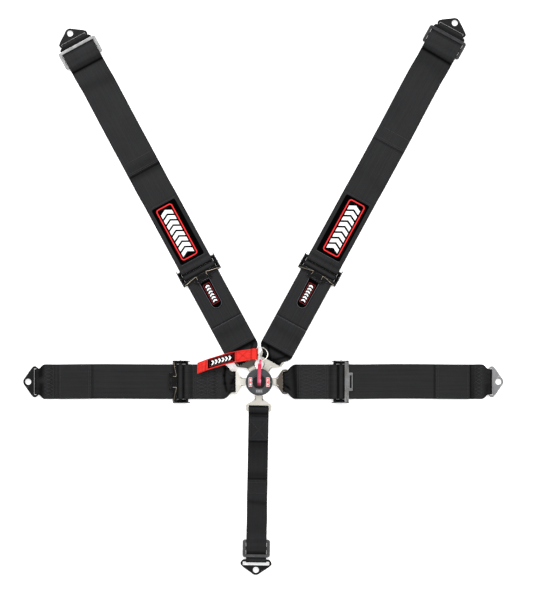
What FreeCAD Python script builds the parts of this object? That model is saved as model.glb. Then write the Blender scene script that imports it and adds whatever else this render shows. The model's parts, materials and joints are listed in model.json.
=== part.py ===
import FreeCAD, Part
import math
import os

# Five-point racing harness with a rotary cam-lock buckle, laid out flat.
# Origin: on the buckle's turning axis, at the buckle's back face. +Z points up out of the
# buckle's face, +Y towards the shoulder belts, +X towards the right-hand lap belt.
# All lengths are millimetres. Each belt is drawn in its own frame: u runs outward from the
# buckle axis along the belt, v across the belt, and is then turned to its angle about Z.

# ---------------------------------------------------------------- driving dimensions
WEB_T = 1.5                      # webbing thickness
WEB_HALF = 38.0                  # half of 76 mm (3 in) webbing
CROTCH_HALF = 22.2               # half of 44.5 mm (1.75 in) webbing
LAP_L_DEG, LAP_R_DEG = 180.0, 0.0
SHO_L_DEG, SHO_R_DEG = 118.5, 61.4
CROTCH_DEG = 269.0
BELT_DEGS = (LAP_R_DEG, SHO_R_DEG, SHO_L_DEG, LAP_L_DEG, CROTCH_DEG)

CASE_R = 28.5                    # buckle housing radius
CASE_TOP = 21.0
CAVITY_R = 25.0
CAVITY_Z = 10.0
RING_R = 29.2                    # face ring
RING_HOLE_R = 13.9
RING_TOP = 24.0
SHAFT_R = 6.0
SHAFT_BORE_R = 6.2
PIN_U = 19.5                     # lock pins' distance from the axis
PIN_R = 2.5
PIN_HOLE_R = 2.7
SCREW_PCR = 24.5
SCREW_DEGS = (30.7, 90.0, 149.3, 224.5, 314.5)

TONGUE_Z = (5.0, 8.2)            # latch plate thickness span
TONGUE_BAR_U = 60.0
TONGUE_BAR_Z = 6.6
LOOP_T_RI, LOOP_T_RO = 3.6, 5.1  # webbing loop on a latch plate
TONGUE_SLOT_HALF = 23.3
GATHER_HALF = 22.5               # webbing half width where it is gathered into the latch plate

ADJ_Z = 6.0                      # adjuster bar height
FIXED_R = 3.0
LOCK_R = 3.2
LOCK_X = 14.0
LOOP_F_RI, LOOP_F_RO = 3.2, 4.7  # sewn loop on the fixed bar
WRAP_MEAN = 4.15                 # webbing centreline radius round the lock bar
A0 = {"left_lap": 158.0, "right_lap": 165.0, "left_shoulder": 290.0, "right_shoulder": 292.0}

BRACKET_T = (3.5, 6.5)
BRACKET_HOLE_R = 6.6             # for a 12.7 mm (1/2 in) eye bolt
BRACKET_HOLE_B = 20.5
LOOP_B_MEAN = 3.85               # webbing loop round a bracket's bar
BRACKET_Z = 5.0
BRACKET_GATHER = 28.0
UB = {"left_lap": 484.5, "right_lap": 502.5, "left_shoulder": 846.0, "right_shoulder": 873.0, "crotch": 391.0}

SLIDE_Z = (3.7, 7.2)
SLIDE_START = {"left_shoulder": 798.5, "right_shoulder": 825.0, "crotch": 345.0}

LEVER_TILT = -2.0                # degrees about Z
RING_WIRE_R = 1.2
RING_MEAN_R = 15.5
RING_TILT = 18.0                 # the pull ring and strap lean down this many degrees
LUG = (1.0, 46.0, 26.0)          # centre of the lever's ring hole

os.makedirs("parts", exist_ok=True)
V = FreeCAD.Vector
NODES = {}


# ---------------------------------------------------------------- helpers
def put(name, shape, deg=0.0):
    s = shape.copy()
    if deg:
        s.rotate(V(0, 0, 0), V(0, 0, 1), deg)
    NODES[name] = s


def cyl(r, z0, z1, x=0.0, y=0.0):
    return Part.makeCylinder(r, z1 - z0, V(x, y, z0))


def box(x0, x1, y0, y1, z0, z1):
    return Part.makeBox(x1 - x0, y1 - y0, z1 - z0, V(x0, y0, z0))


def cyl_y(r, x, z, half):
    return Part.makeCylinder(r, 2 * half, V(x, -half, z), V(0, 1, 0))


def edges_of(steps, to3):
    # steps: first point, then (a, b) for a line or (ma, mb, a, b) for an arc through (ma, mb).
    out = []
    cur = steps[0]
    for s in steps[1:]:
        if len(s) == 2:
            if math.hypot(s[0] - cur[0], s[1] - cur[1]) > 1e-6:
                out.append(Part.makeLine(to3(*cur), to3(*s)))
            cur = s
        else:
            out.append(Part.Arc(to3(*cur), to3(s[0], s[1]), to3(s[2], s[3])).toShape())
            cur = (s[2], s[3])
    if math.hypot(steps[0][0] - cur[0], steps[0][1] - cur[1]) > 1e-6:
        out.append(Part.makeLine(to3(*cur), to3(*steps[0])))
    return out


def plan(steps, z0, z1):
    w = Part.Wire(edges_of(steps, lambda a, b: V(a, b, z0)))
    return Part.Face(w).extrude(V(0, 0, z1 - z0))


def side(steps, half, lo=None):
    lo = -half if lo is None else lo
    w = Part.Wire(edges_of(steps, lambda a, b: V(a, lo, b)))
    return Part.Face(w).extrude(V(0, half - lo, 0))


def arc_pts(cx, cz, r, d0, d1, n):
    return [(cx + r * math.cos(math.radians(d0 + (d1 - d0) * i / n)),
             cz + r * math.sin(math.radians(d0 + (d1 - d0) * i / n))) for i in range(n + 1)]


def offset_line(path, d):
    # polyline moved sideways by d (to the left of its direction) with mitred corners
    n = len(path)
    dirs = []
    for i in range(n - 1):
        dx, dz = path[i + 1][0] - path[i][0], path[i + 1][1] - path[i][1]
        k = math.hypot(dx, dz)
        dirs.append((dx / k, dz / k))
    out = []
    for i in range(n):
        a = dirs[max(i - 1, 0)]
        b = dirs[min(i, n - 2)]
        na, nb = (-a[1], a[0]), (-b[1], b[0])
        mx, mz = na[0] + nb[0], na[1] + nb[1]
        k = mx * na[0] + mz * na[1]
        out.append((path[i][0] + d * mx / k, path[i][1] + d * mz / k))
    return out


def band(path, t):
    left = offset_line(path, t / 2.0)
    right = offset_line(path, -t / 2.0)
    return left + right[::-1]


def symmetric(half_pts):
    # plan outline from points (u, half width) given in order of u
    return [(u, -h) for u, h in half_pts] + [(u, h) for u, h in half_pts[::-1]]


def trim(solid, half_pts):
    return solid.common(plan(symmetric(half_pts), -5.0, 40.0))


def rounded_rect(x0, x1, y0, y1, r):
    k = r * (1 - math.sqrt(0.5))
    return [(x0 + r, y0), (x1 - r, y0), (x1 - k, y0 + k, x1, y0 + r), (x1, y1 - r),
            (x1 - k, y1 - k, x1 - r, y1), (x0 + r, y1), (x0 + k, y1 - k, x0, y1 - r),
            (x0, y0 + r), (x0 + k, y0 + k, x0 + r, y0)]


def tube(points, r, sides):
    # faceted round wire along a polyline, closed at both ends
    pts = [V(*p) for p in points]
    n = len(pts)
    rows = []
    ref = V(0, 0, 1)
    for i in range(n):
        a = pts[min(i + 1, n - 1)] - pts[min(i, n - 2)]
        b = pts[max(i, 1)] - pts[max(i - 1, 0)]
        a.normalize()
        b.normalize()
        t = a + b
        t.normalize()
        k = 1.0 / max(t.dot(a), 0.3)
        e1 = t.cross(ref)
        e1.normalize()
        e2 = e1.cross(t)
        e2.normalize()
        row = []
        for j in range(sides):
            w = 2 * math.pi * j / sides
            row.append(pts[i] + e1 * (r * (k if n == 3 else 1.0) * math.cos(w)) + e2 * (r * math.sin(w)))
        rows.append(row)
    faces = []

    def tri(a, b, c):
        faces.append(Part.Face(Part.makePolygon([a, b, c, a])))

    for i in range(n - 1):
        for j in range(sides):
            k = (j + 1) % sides
            tri(rows[i][j], rows[i][k], rows[i + 1][k])
            tri(rows[i][j], rows[i + 1][k], rows[i + 1][j])
    faces.append(Part.Face(Part.makePolygon(rows[0] + rows[0][:1])))
    faces.append(Part.Face(Part.makePolygon(rows[-1] + rows[-1][:1])))
    solid = Part.makeSolid(Part.makeShell(faces))
    if solid.Volume < 0:
        solid.reverse()
    return solid


def mirror_y(shape):
    return shape.mirror(V(0, 0, 0), V(0, 1, 0))


def mirror_x_about(shape, x):
    return shape.mirror(V(x, 0, 0), V(1, 0, 0))


def revolve(pts):
    w = Part.makePolygon([V(r, 0, z) for r, z in pts] + [V(pts[0][0], 0, pts[0][1])])
    return Part.Face(w).revolve(V(0, 0, 0), V(0, 0, 1), 360)


# ---------------------------------------------------------------- buckle case
back = revolve([(0, 0.0), (0, 2.5), (CASE_R, 2.5), (CASE_R, 0.8), (CASE_R - 0.8, 0.0)])
housing = revolve([(0, 2.5), (0, CASE_TOP), (CASE_R, CASE_TOP), (CASE_R, 2.5)])
housing = housing.cut(cyl(CAVITY_R, CAVITY_Z, CASE_TOP + 1)).cut(cyl(SHAFT_BORE_R, 0, 12))
for deg in BELT_DEGS:
    pocket = plan([(11.5, -4.6), (13.2, -6.4), (24.0, -6.4), (25.8, -9.3), (34.0, -9.3),
                   (34.0, 9.3), (25.8, 9.3), (24.0, 6.4), (13.2, 6.4), (11.5, 4.6)], 4.8, 8.4)
    pocket.rotate(V(0, 0, 0), V(0, 0, 1), deg)
    hole = cyl(PIN_HOLE_R, 7.0, 11.0, PIN_U, 0)
    hole.rotate(V(0, 0, 0), V(0, 0, 1), deg)
    housing = housing.cut(pocket).cut(hole)
screws = []
for deg in SCREW_DEGS:
    a = math.radians(deg)
    x, y = SCREW_PCR * math.cos(a), SCREW_PCR * math.sin(a)
    housing = housing.cut(cyl(1.66, 2.0, 8.3, x, y))
    back = back.cut(cyl(1.75, -1, 3, x, y)).cut(cyl(3.0, -1, 1.7, x, y))
    screw = cyl(2.8, 0.35, 1.7, x, y).fuse(cyl(1.6, 1.7, 8.0, x, y))
    hexa = [(x + 1.15 * math.cos(math.radians(60 * i)), y + 1.15 * math.sin(math.radians(60 * i))) for i in range(6)]
    screws.append(screw.cut(plan(hexa, 0.0, 1.3)))
put("buckle_back_plate", back)
put("buckle_housing", housing)
put("case_screws", Part.makeCompound(screws))

ring = revolve([(RING_HOLE_R, CASE_TOP), (23.4, CASE_TOP), (23.4, 19.4), (24.85, 19.4), (24.85, CASE_TOP),
                (RING_R, CASE_TOP), (RING_R, 22.4), (27.6, RING_TOP), (14.9, RING_TOP), (RING_HOLE_R, 23.2)])
put("buckle_face_ring", ring)
marks = [plan(rounded_rect(-22.6, -15.4, -10.0, 10.0, 1.0), RING_TOP, 24.35),
         plan(rounded_rect(15.4, 22.6, -10.0, 10.0, 1.0), RING_TOP, 24.35),
         plan(rounded_rect(-8.0, 8.0, -24.2, -15.2, 1.0), RING_TOP, 24.35)]
put("buckle_turn_marks", Part.makeCompound(marks))

# ---------------------------------------------------------------- turning lever
rotor = cyl(SHAFT_R, 2.6, 21.3).fuse(cyl(9.5, 10.2, 11.5))
for i in range(5):
    # ramps on the cam collar that lift the pin plate
    ramp = plan([(6.5, -1.6), (9.2, -1.6), (9.2, 1.6), (6.5, 1.6)], 11.4, 11.65)
    ramp.rotate(V(0, 0, 0), V(0, 0, 1), 72 * i + 36)
    rotor = rotor.fuse(ramp)
put("lever_rotor", rotor.removeSplitter())
knob = revolve([(0, 21.3), (13.4, 21.3), (13.4, 22.4), (12.8, 23.0), (0, 23.0)]).fuse(cyl(6.6, 22.5, 25.0))
put("lever_knob", knob.removeSplitter())

bar = plan([(-4.0, -6.8), (-2.6, -8.3), (2.6, -8.3), (4.0, -6.8), (4.0, 38.0), (3.2, 43.0),
            (-1.8, 43.0), (-4.0, 38.0)], 25.0, 29.0)
hub = plan(rounded_rect(-4.0, 4.0, -7.0, 7.0, 1.5), 29.0, 31.0)
lug = Part.makeCylinder(3.4, 5.0, V(-1.6, LUG[1], LUG[2]), V(1, 0, 0))
neck = plan([(-1.6, 40.0), (3.4, 40.0), (3.4, LUG[1]), (-1.6, LUG[1])], 24.4, 29.0)
lever = bar.fuse(hub).fuse(lug).fuse(neck)
lever.rotate(V(0, 0, 0), V(0, 0, 1), LEVER_TILT)
lever = lever.cut(Part.makeCylinder(1.9, 16.0, V(-8 + LUG[0], LUG[1], LUG[2]), V(1, 0, 0)))
put("release_lever", lever.removeSplitter())

plate = cyl(24.0, 11.75, 12.75).cut(cyl(7.0, 11, 14))
for i in range(5):
    w = cyl(2.2, 11, 14, 15.2, 0)
    w.rotate(V(0, 0, 0), V(0, 0, 1), SCREW_DEGS[i])
    plate = plate.cut(w)
put("pin_lift_plate", plate)
pins = []
for deg in BELT_DEGS:
    p = Part.makeCylinder(PIN_R, 4.15, V(PIN_U, 0, 7.6)).fuse(Part.makeCone(PIN_R - 0.4, PIN_R, 0.4, V(PIN_U, 0, 7.2)))
    p = p.removeSplitter()
    p.rotate(V(0, 0, 0), V(0, 0, 1), deg)
    pins.append(p)
put("lock_pins", Part.makeCompound(pins))


def conical_spring(r0, r1, z0, z1, turns, wire):
    n = int(turns * 20)
    pts = []
    for i in range(n + 1):
        f = i / float(n)
        a = 2 * math.pi * turns * f
        r = r0 + (r1 - r0) * f
        pts.append((r * math.cos(a), r * math.sin(a), z0 + (z1 - z0) * f))
    return tube(pts, wire, 6)


put("pin_return_spring", conical_spring(22.2, 15.6, 13.4, 20.35, 2.75, 0.55))

# ---------------------------------------------------------------- pull ring and strap on the lever
TS, TC = math.sin(math.radians(RING_TILT)), math.cos(math.radians(RING_TILT))
RING_C = (LUG[0] + 2.0, LUG[1] + 15.37 * TC, LUG[2] - 15.37 * TS)
pull_ring = Part.makeTorus(RING_MEAN_R, RING_WIRE_R, V(*RING_C), V(0, TS, TC))
put("lever_pull_ring", pull_ring)

# The strap is drawn flat about the ring's centre line (x, s across, n up), then leaned over.
STRAP_T = 2.6
STRAP_HALF = 12.6
strap_line = [(-18.6, -0.5), (-36.0, -1.6), (-53.9, -3.6), (-70.0, -6.0), (-85.0, -8.7), (-99.0, -11.2),
              (-111.5, -13.4), (-134.9, -17.0)]
strap_mid = [(-3.0, 0.0), (-18.6, -0.6), (-36.0, -2.9), (-53.9, -5.2), (-70.0, -8.4), (-85.0, -12.0), (-99.0, -15.6),
             (-111.5, -19.0), (-134.9, -27.0)]
body = side(band(strap_line, STRAP_T), 60.0, -60.0)
eye = side([(-18.6, -1.8), (-14.6, -3.7), (-5.6, -3.7), (-3.2, -2.6, -2.3, 0.0), (-3.2, 2.6, -5.6, 3.7), (-14.6, 3.7), (-18.6, 0.8)], 60.0, -60.0)
pocket = side([(-14.6, -2.4), (-5.6, -2.4), (-4.2, -1.6, -3.6, 0.0), (-4.2, 1.6, -5.6, 2.4), (-14.6, 2.4), (-15.4, 0.0)], 61.0, -61.0)
strap_flat = body.fuse(eye).removeSplitter().cut(pocket)
lo = [(x, s - STRAP_HALF) for x, s in strap_mid]
hi = [(x, s + STRAP_HALF) for x, s in strap_mid]
lo = [(2.0, lo[0][1])] + lo
hi = [(2.0, hi[0][1])] + hi
strap_flat = strap_flat.common(plan(lo + hi[::-1], -40.0, 40.0))


def lean(shape):
    s = shape.copy()
    s.translate(V(0, RING_C[1], RING_C[2]))
    s.rotate(V(0, RING_C[1], RING_C[2]), V(1, 0, 0), -RING_TILT)
    return s


put("pull_strap", lean(strap_flat))
lab_line = [p for p in strap_line if -112.0 <= p[0] <= -53.0]
lab_up = offset_line(lab_line, -(STRAP_T / 2.0 + 0.25))
label = side(band(lab_up, 0.5), 60.0, -60.0)
lab_lo = [(x, s - 10.2) for x, s in strap_mid if -112.0 <= x <= -53.0]
lab_hi = [(x, s + 10.2) for x, s in strap_mid if -112.0 <= x <= -53.0]
put("pull_strap_label", lean(label.common(plan(lab_lo + lab_hi[::-1], -40.0, 40.0))))

# ---------------------------------------------------------------- latch plates (tongues)
half = [(12.0, 4.4), (13.8, 6.2), (24.0, 6.2), (26.0, 9.0), (39.5, 9.0), (43.0, 11.2), (46.0, 16.2), (50.0, 24.2)]
outline = [(u, -h) for u, h in half] + [(51.2, -26.2, 53.6, -27.0), (60.0, -27.0), (62.2, -26.1, 63.0, -24.0),
                                        (63.0, 24.0), (62.2, 26.1, 60.0, 27.0), (53.6, 27.0), (51.2, 26.2, 50.0, 24.2)]
outline += [(u, h) for u, h in half[::-1][1:]]
tongue = plan(outline, *TONGUE_Z)
lock_hole = plan([(16.1, -2.7), (19.4, -2.7), (22.1, 0.0, 19.4, 2.7), (16.1, 2.7), (13.4, 0.0, 16.1, -2.7)], 4.0, 9.0)
tongue = tongue.cut(lock_hole).cut(plan(rounded_rect(50.8, 57.0, -TONGUE_SLOT_HALF, TONGUE_SLOT_HALF, 1.5), 4.0, 9.0))
# raised edge round the neck keeps the plate stiff
for sgn in (-1, 1):
    rib = plan([(31.0, sgn * 7.9), (39.0, sgn * 7.9), (42.4, sgn * 10.4), (42.4, sgn * 8.4), (39.4, sgn * 6.2), (31.0, sgn * 6.2)], 8.2, 8.9)
    tongue = tongue.fuse(rib)
tongue = tongue.removeSplitter()
for name, deg in (("right_lap", LAP_R_DEG), ("right_shoulder", SHO_R_DEG), ("left_shoulder", SHO_L_DEG),
                  ("left_lap", LAP_L_DEG), ("crotch", CROTCH_DEG)):
    put("tongue_" + name, tongue, deg)

# ---------------------------------------------------------------- anchor brackets
br = [(-2.5, -27.0), (-1.4, -29.4), (4.0, -34.0), (9.0, -34.0), (14.5, -28.0), (27.5, -9.0),
      (31.5, 0.0, 27.5, 9.0), (14.5, 28.0), (9.0, 34.0), (4.0, 34.0), (-1.4, 29.4), (-2.5, 27.0)]
bracket = plan(br, *BRACKET_T)
bracket = bracket.cut(plan(rounded_rect(2.5, 10.5, -29.0, 29.0, 1.4), 0, 10)).cut(cyl(BRACKET_HOLE_R, 0, 10, BRACKET_HOLE_B, 0))


def put_bracket(name, ub, deg):
    b = bracket.copy()
    b.translate(V(ub, 0, BRACKET_Z - sum(BRACKET_T) / 2.0))
    put(name, b, deg)


# ---------------------------------------------------------------- adjusters
def adjuster(a0, sign):
    # local x runs from the fixed bar to the finger tab; sign +1 puts the tab on the outer side
    flange_steps = [(-3.6, 3.4), (-2.0, 1.7), (31.0, 1.7), (31.0, 8.6), (25.0, 12.9), (3.0, 12.9), (-3.6, 9.6), (-6.6, 11.6), (-7.2, 10.6)]
    f = side(flange_steps, 46.2, 44.2)
    f = f.cut(side([(12.2, 4.2), (18.0, 4.2), (18.0, 7.8), (12.2, 7.8)], 47.0, 43.0))
    f = f.fuse(mirror_y(f))
    f = f.fuse(box(22.0, 31.0, -44.4, 44.4, 6.0, 8.0))
    tab = plan([(30.5, -20.0), (37.5, -20.0), (39.0, -19.4, 39.5, -18.0), (39.5, 18.0), (39.0, 19.4, 37.5, 20.0), (30.5, 20.0)], 6.0, 8.0)
    tab = tab.cut(plan(rounded_rect(33.0, 37.0, -14.0, 14.0, 1.2), 5, 9))
    f = f.fuse(tab).fuse(cyl_y(FIXED_R, 0.0, ADJ_Z, 44.4)).removeSplitter()
    lock = cyl_y(LOCK_R, LOCK_X, ADJ_Z, 43.9).fuse(cyl_y(1.6, LOCK_X, ADJ_Z, 46.9)).removeSplitter()
    wires = [tube([(29.0, s * 43.3, 9.9), (22.6, s * 13.3, 9.5), (30.0, s * 12.0, 8.8)], 0.7, 12) for s in (-1, 1)]
    springs = Part.makeCompound(wires)
    out = []
    for s in (f, lock, springs):
        if sign < 0:
            s = mirror_x_about(s, 0.0)
        s = s.copy()
        s.translate(V(a0, 0, 0))
        out.append(s)
    return out


def put_adjuster(name, a0, sign, deg):
    f, lock, springs = adjuster(a0, sign)
    put(name + "_adjuster_frame", f, deg)
    put(name + "_adjuster_lock_bar", lock, deg)
    put(name + "_adjuster_springs", springs, deg)


def wrap_path(z_tail):
    # webbing centreline in the adjuster's own frame: in along the floor from the tab side,
    # over the lock bar and back out under the tab
    return ([(22.0, 0.95), (13.2, 0.95)] + arc_pts(LOCK_X, ADJ_Z, WRAP_MEAN, 216.0, 0.0, 14)
            + [(18.3, 5.3), (19.0, z_tail + 0.45), (20.3, z_tail)])


# ---------------------------------------------------------------- lap belts
def lap(name, deg, hem_from, hem_to, sew_from):
    a0, ub = A0[name], UB[name]
    s = side([(60.0, TONGUE_BAR_Z - LOOP_T_RO), (72.0, 2.2), (a0 - 12.0, 2.2), (a0, ADJ_Z - LOOP_F_RO),
              (a0 + LOOP_F_RO, ADJ_Z, a0, ADJ_Z + LOOP_F_RO), (a0 - 12.0, 5.2), (72.0, 5.2),
              (60.0, TONGUE_BAR_Z + LOOP_T_RO), (60.0 - LOOP_T_RO, TONGUE_BAR_Z, 60.0, TONGUE_BAR_Z - LOOP_T_RO)], WEB_HALF)
    s = s.cut(cyl_y(LOOP_T_RI, 60.0, TONGUE_BAR_Z, 50)).cut(cyl_y(LOOP_F_RI, a0, ADJ_Z, 50))
    s = trim(s, [(50.0, GATHER_HALF), (66.5, GATHER_HALF), (72.0, 30.5), (80.0, WEB_HALF), (a0 + 6.0, WEB_HALF)])
    put(name + "_short_strap", s, deg)
    a = side([(a0 + 22.4, 0.2), (ub - 14.0, 0.2), (ub, BRACKET_Z - LOOP_B_MEAN - 0.75),
              (ub + LOOP_B_MEAN + 0.75, BRACKET_Z, ub, BRACKET_Z + LOOP_B_MEAN + 0.75), (ub - 14.0, 3.2), (sew_from, 3.2),
              (sew_from, 1.7), (a0 + 22.4, 1.7)], WEB_HALF)
    a = a.cut(cyl_y(LOOP_B_MEAN - 0.75, ub, BRACKET_Z, 50))
    a = trim(a, [(a0 + 20.0, WEB_HALF), (ub - 14.0, WEB_HALF), (ub - 4.0, 31.0), (ub + 1.0, BRACKET_GATHER), (ub + 6.0, BRACKET_GATHER)])
    put(name + "_webbing", a, deg)
    path = [(a0 + x, z) for x, z in wrap_path(3.85)] + [(hem_to, 3.85)]
    t = side(band(path, WEB_T), WEB_HALF)
    t = t.fuse(box(hem_from, hem_to, -WEB_HALF, WEB_HALF, 4.5, 6.1)).removeSplitter()
    put(name + "_tail", t, deg)
    put_bracket(name + "_bracket", ub, deg)
    put_adjuster(name, a0, 1, deg)


lap("left_lap", LAP_L_DEG, 366.0, 439.0, 448.0)
lap("right_lap", LAP_R_DEG, 385.0, 460.6, 470.0)


# ---------------------------------------------------------------- three-bar slides
def slide_buckle(s0, bar_w, gap, half, rail):
    total = 3 * bar_w + 2 * gap
    f = plan(rounded_rect(s0, s0 + total, -half, half, 5.0), *SLIDE_Z)
    for k in range(2):
        a = s0 + bar_w + k * (bar_w + gap)
        f = f.cut(plan(rounded_rect(a, a + gap, -(half - rail), half - rail, 1.6), 0, 12))
    return f


def slide_path(s0, w, g, ub, start_u, tail_u):
    main = [(start_u, 0.95), (s0 + w + 0.5, 0.95), (s0 + w + g - 1.5, 8.2), (s0 + 2 * w + g + 1.5, 8.2),
            (s0 + 2 * w + 2 * g - 1.0, 0.95), (ub - 3.0, 0.95)]
    loop = arc_pts(ub, BRACKET_Z, LOOP_B_MEAN, -90.0, 140.0, 12)
    tail = [(ub - 6.0, 2.6), (s0 + 2 * w + 2 * g - 0.1, 2.6), (s0 + 2 * w + g + 2.3, 9.85), (s0 + w + g - 2.2, 9.85),
            (s0 + w + 1.0, 8.3), (s0 - 1.0, 8.3), (s0 - 12.0, 2.6), (tail_u, 2.6)]
    return main + loop + tail


# ---------------------------------------------------------------- shoulder belts
def shoulder(name, deg, tail_end, hem_from, tail_u, patch):
    a0, ub, s0 = A0[name], UB[name], SLIDE_START[name]
    low = side([(60.0, TONGUE_BAR_Z - LOOP_T_RO), (80.0, 0.2), (a0 - 22.4, 0.2), (a0 - 22.4, 1.7), (150.0, 1.7), (150.0, 3.2),
                (76.0, 3.2), (60.0, TONGUE_BAR_Z + LOOP_T_RO),
                (60.0 - LOOP_T_RO, TONGUE_BAR_Z, 60.0, TONGUE_BAR_Z - LOOP_T_RO)], WEB_HALF)
    low = low.cut(cyl_y(LOOP_T_RI, 60.0, TONGUE_BAR_Z, 50))
    low = trim(low, [(50.0, GATHER_HALF), (66.5, GATHER_HALF), (72.0, 30.5), (80.0, WEB_HALF), (a0, WEB_HALF)])
    put(name + "_lower_strap", low, deg)
    path = [(a0 - x, z) for x, z in wrap_path(4.2)] + [(tail_end, 4.2)]
    t = side(band(path, WEB_T), WEB_HALF)
    t = t.fuse(box(tail_end, hem_from, -WEB_HALF, WEB_HALF, 4.9, 6.5)).removeSplitter()
    put(name + "_tail", t, deg)
    tab = plan([(196.5, -11.0), (252.0, -12.0), (252.0, 12.0), (196.5, 11.0), (185.5, 0.0, 196.5, -11.0)], 4.95, 5.6)
    put(name + "_pull_tab", tab, deg)
    sewn = patch[1] + 6.0
    up = side([(a0, ADJ_Z - LOOP_F_RO), (a0 + 13.0, 0.2), (sewn, 0.2), (sewn, 3.2), (a0 + 13.0, 3.2), (a0, ADJ_Z + LOOP_F_RO),
               (a0 - LOOP_F_RO, ADJ_Z, a0, ADJ_Z - LOOP_F_RO)], WEB_HALF)
    up = up.cut(cyl_y(LOOP_F_RI, a0, ADJ_Z, 50))
    run = side(band(slide_path(s0, 7.0, 10.0, ub, sewn, tail_u), WEB_T), WEB_HALF)
    up = up.fuse(run).removeSplitter()
    up = trim(up, [(a0 - 10.0, WEB_HALF), (ub - 3.2, WEB_HALF), (ub + 1.5, BRACKET_GATHER), (ub + 6.0, BRACKET_GATHER)])
    put(name + "_upper_strap", up, deg)
    put(name + "_label", plan(rounded_rect(patch[0], patch[1], -28.75, 28.75, 4.0), 3.2, 3.75), deg)
    put(name + "_slide", slide_buckle(s0, 7.0, 10.0, 45.0, 5.5), deg)
    put_bracket(name + "_bracket", ub, deg)
    put_adjuster(name, a0, -1, deg)


shoulder("left_shoulder", SHO_L_DEG, 87.0, 150.0, 527.0, (304.6, 441.6))
shoulder("right_shoulder", SHO_R_DEG, 82.0, 147.0, 589.5, (313.5, 452.5))

# ---------------------------------------------------------------- crotch belt
ub, s0 = UB["crotch"], SLIDE_START["crotch"]
c = side([(60.0, TONGUE_BAR_Z - LOOP_T_RO), (80.0, 0.2), (130.0, 0.2), (130.0, 3.2), (76.0, 3.2),
          (60.0, TONGUE_BAR_Z + LOOP_T_RO), (60.0 - LOOP_T_RO, TONGUE_BAR_Z, 60.0, TONGUE_BAR_Z - LOOP_T_RO)], CROTCH_HALF)
c = c.cut(cyl_y(LOOP_T_RI, 60.0, TONGUE_BAR_Z, 50))
run = side(band(slide_path(s0, 6.5, 9.75, ub, 130.0, 214.0), WEB_T), CROTCH_HALF)
put("crotch_strap", c.fuse(run).removeSplitter(), CROTCH_DEG)
put("crotch_slide", slide_buckle(s0, 6.5, 9.75, 30.0, 5.5), CROTCH_DEG)
put_bracket("crotch_bracket", ub, CROTCH_DEG)

# ---------------------------------------------------------------- write one STEP per node
for name in sorted(NODES):
    shape = NODES[name]
    solids = shape.Solids
    ok = shape.isValid() and all(s.isValid() and s.Volume > 0 for s in solids)
    print("%-36s solids %d  volume %10.1f mm3  %s" % (name, len(solids), shape.Volume, "ok" if ok else "INVALID"))
    shape.exportStep("parts/" + name + ".step")
print(len(NODES), "nodes")
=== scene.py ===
import json
import math

import bmesh
import bpy
import mathutils.geometry
import numpy as np
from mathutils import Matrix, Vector


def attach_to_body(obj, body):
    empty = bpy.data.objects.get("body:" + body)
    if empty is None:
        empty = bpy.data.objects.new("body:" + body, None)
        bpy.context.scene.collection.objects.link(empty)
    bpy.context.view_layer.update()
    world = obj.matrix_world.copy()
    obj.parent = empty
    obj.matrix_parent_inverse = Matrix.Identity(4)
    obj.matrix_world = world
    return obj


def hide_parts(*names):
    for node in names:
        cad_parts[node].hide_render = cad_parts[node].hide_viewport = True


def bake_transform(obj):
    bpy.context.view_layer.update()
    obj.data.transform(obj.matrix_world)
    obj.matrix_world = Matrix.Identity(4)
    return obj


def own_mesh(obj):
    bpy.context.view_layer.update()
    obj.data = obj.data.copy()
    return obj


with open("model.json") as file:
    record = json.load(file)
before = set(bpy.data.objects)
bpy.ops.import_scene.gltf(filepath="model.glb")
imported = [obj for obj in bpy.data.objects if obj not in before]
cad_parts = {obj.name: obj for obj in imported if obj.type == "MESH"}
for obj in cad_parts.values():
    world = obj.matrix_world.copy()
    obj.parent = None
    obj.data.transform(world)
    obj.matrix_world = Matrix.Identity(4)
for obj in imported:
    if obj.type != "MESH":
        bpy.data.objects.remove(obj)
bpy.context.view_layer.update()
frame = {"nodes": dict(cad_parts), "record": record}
NODES = frame["nodes"]
BODY_OF = {n: b for b, ns in frame["record"]["behaviour"]["bodies"].items() for n in ns}
MM = 0.001

# ------------------------------------------------------------------ driving sizes, in millimetres
WEB_T = 1.5
DEG = {"left_lap": 180.0, "right_lap": 0.0, "left_shoulder": 118.5, "right_shoulder": 61.4, "crotch": 269.0}
A0 = {"left_lap": 158.0, "right_lap": 165.0, "left_shoulder": 290.0, "right_shoulder": 292.0}
UB = {"left_lap": 484.5, "right_lap": 502.5, "left_shoulder": 846.0, "right_shoulder": 873.0, "crotch": 391.0}
S0 = {"left_shoulder": 798.5, "right_shoulder": 825.0, "crotch": 345.0}
HEM = {"left_lap": (366.0, 439.0), "right_lap": (385.0, 460.6), "left_shoulder": (150.0, 87.0), "right_shoulder": (147.0, 82.0)}
SEW = {"left_lap": 448.0, "right_lap": 470.0}
PATCH = {"left_shoulder": (304.6, 441.6), "right_shoulder": (313.5, 452.5)}
TAIL_U = {"left_shoulder": 527.0, "right_shoulder": 589.5, "crotch": 214.0}
RING_TILT = math.radians(18.0)
LUG = (1.0, 46.0, 26.0)
RING_C = (3.0, 46.0 + 15.37 * math.cos(RING_TILT), 26.0 - 15.37 * math.sin(RING_TILT))


def turned(deg):
    c, s = math.cos(math.radians(deg)), math.sin(math.radians(deg))

    def xf(p):
        p = np.asarray(p, float)
        return np.stack([p[..., 0] * c - p[..., 1] * s, p[..., 0] * s + p[..., 1] * c, p[..., 2]], -1) * MM

    return xf


def leaned(p):
    # the pull strap's own frame: x along, s across, n up, leaned about the ring's centre
    p = np.asarray(p, float)
    c, s = math.cos(RING_TILT), math.sin(RING_TILT)
    return np.stack([p[..., 0], RING_C[1] + p[..., 1] * c + p[..., 2] * s, RING_C[2] - p[..., 1] * s + p[..., 2] * c], -1) * MM


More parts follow.
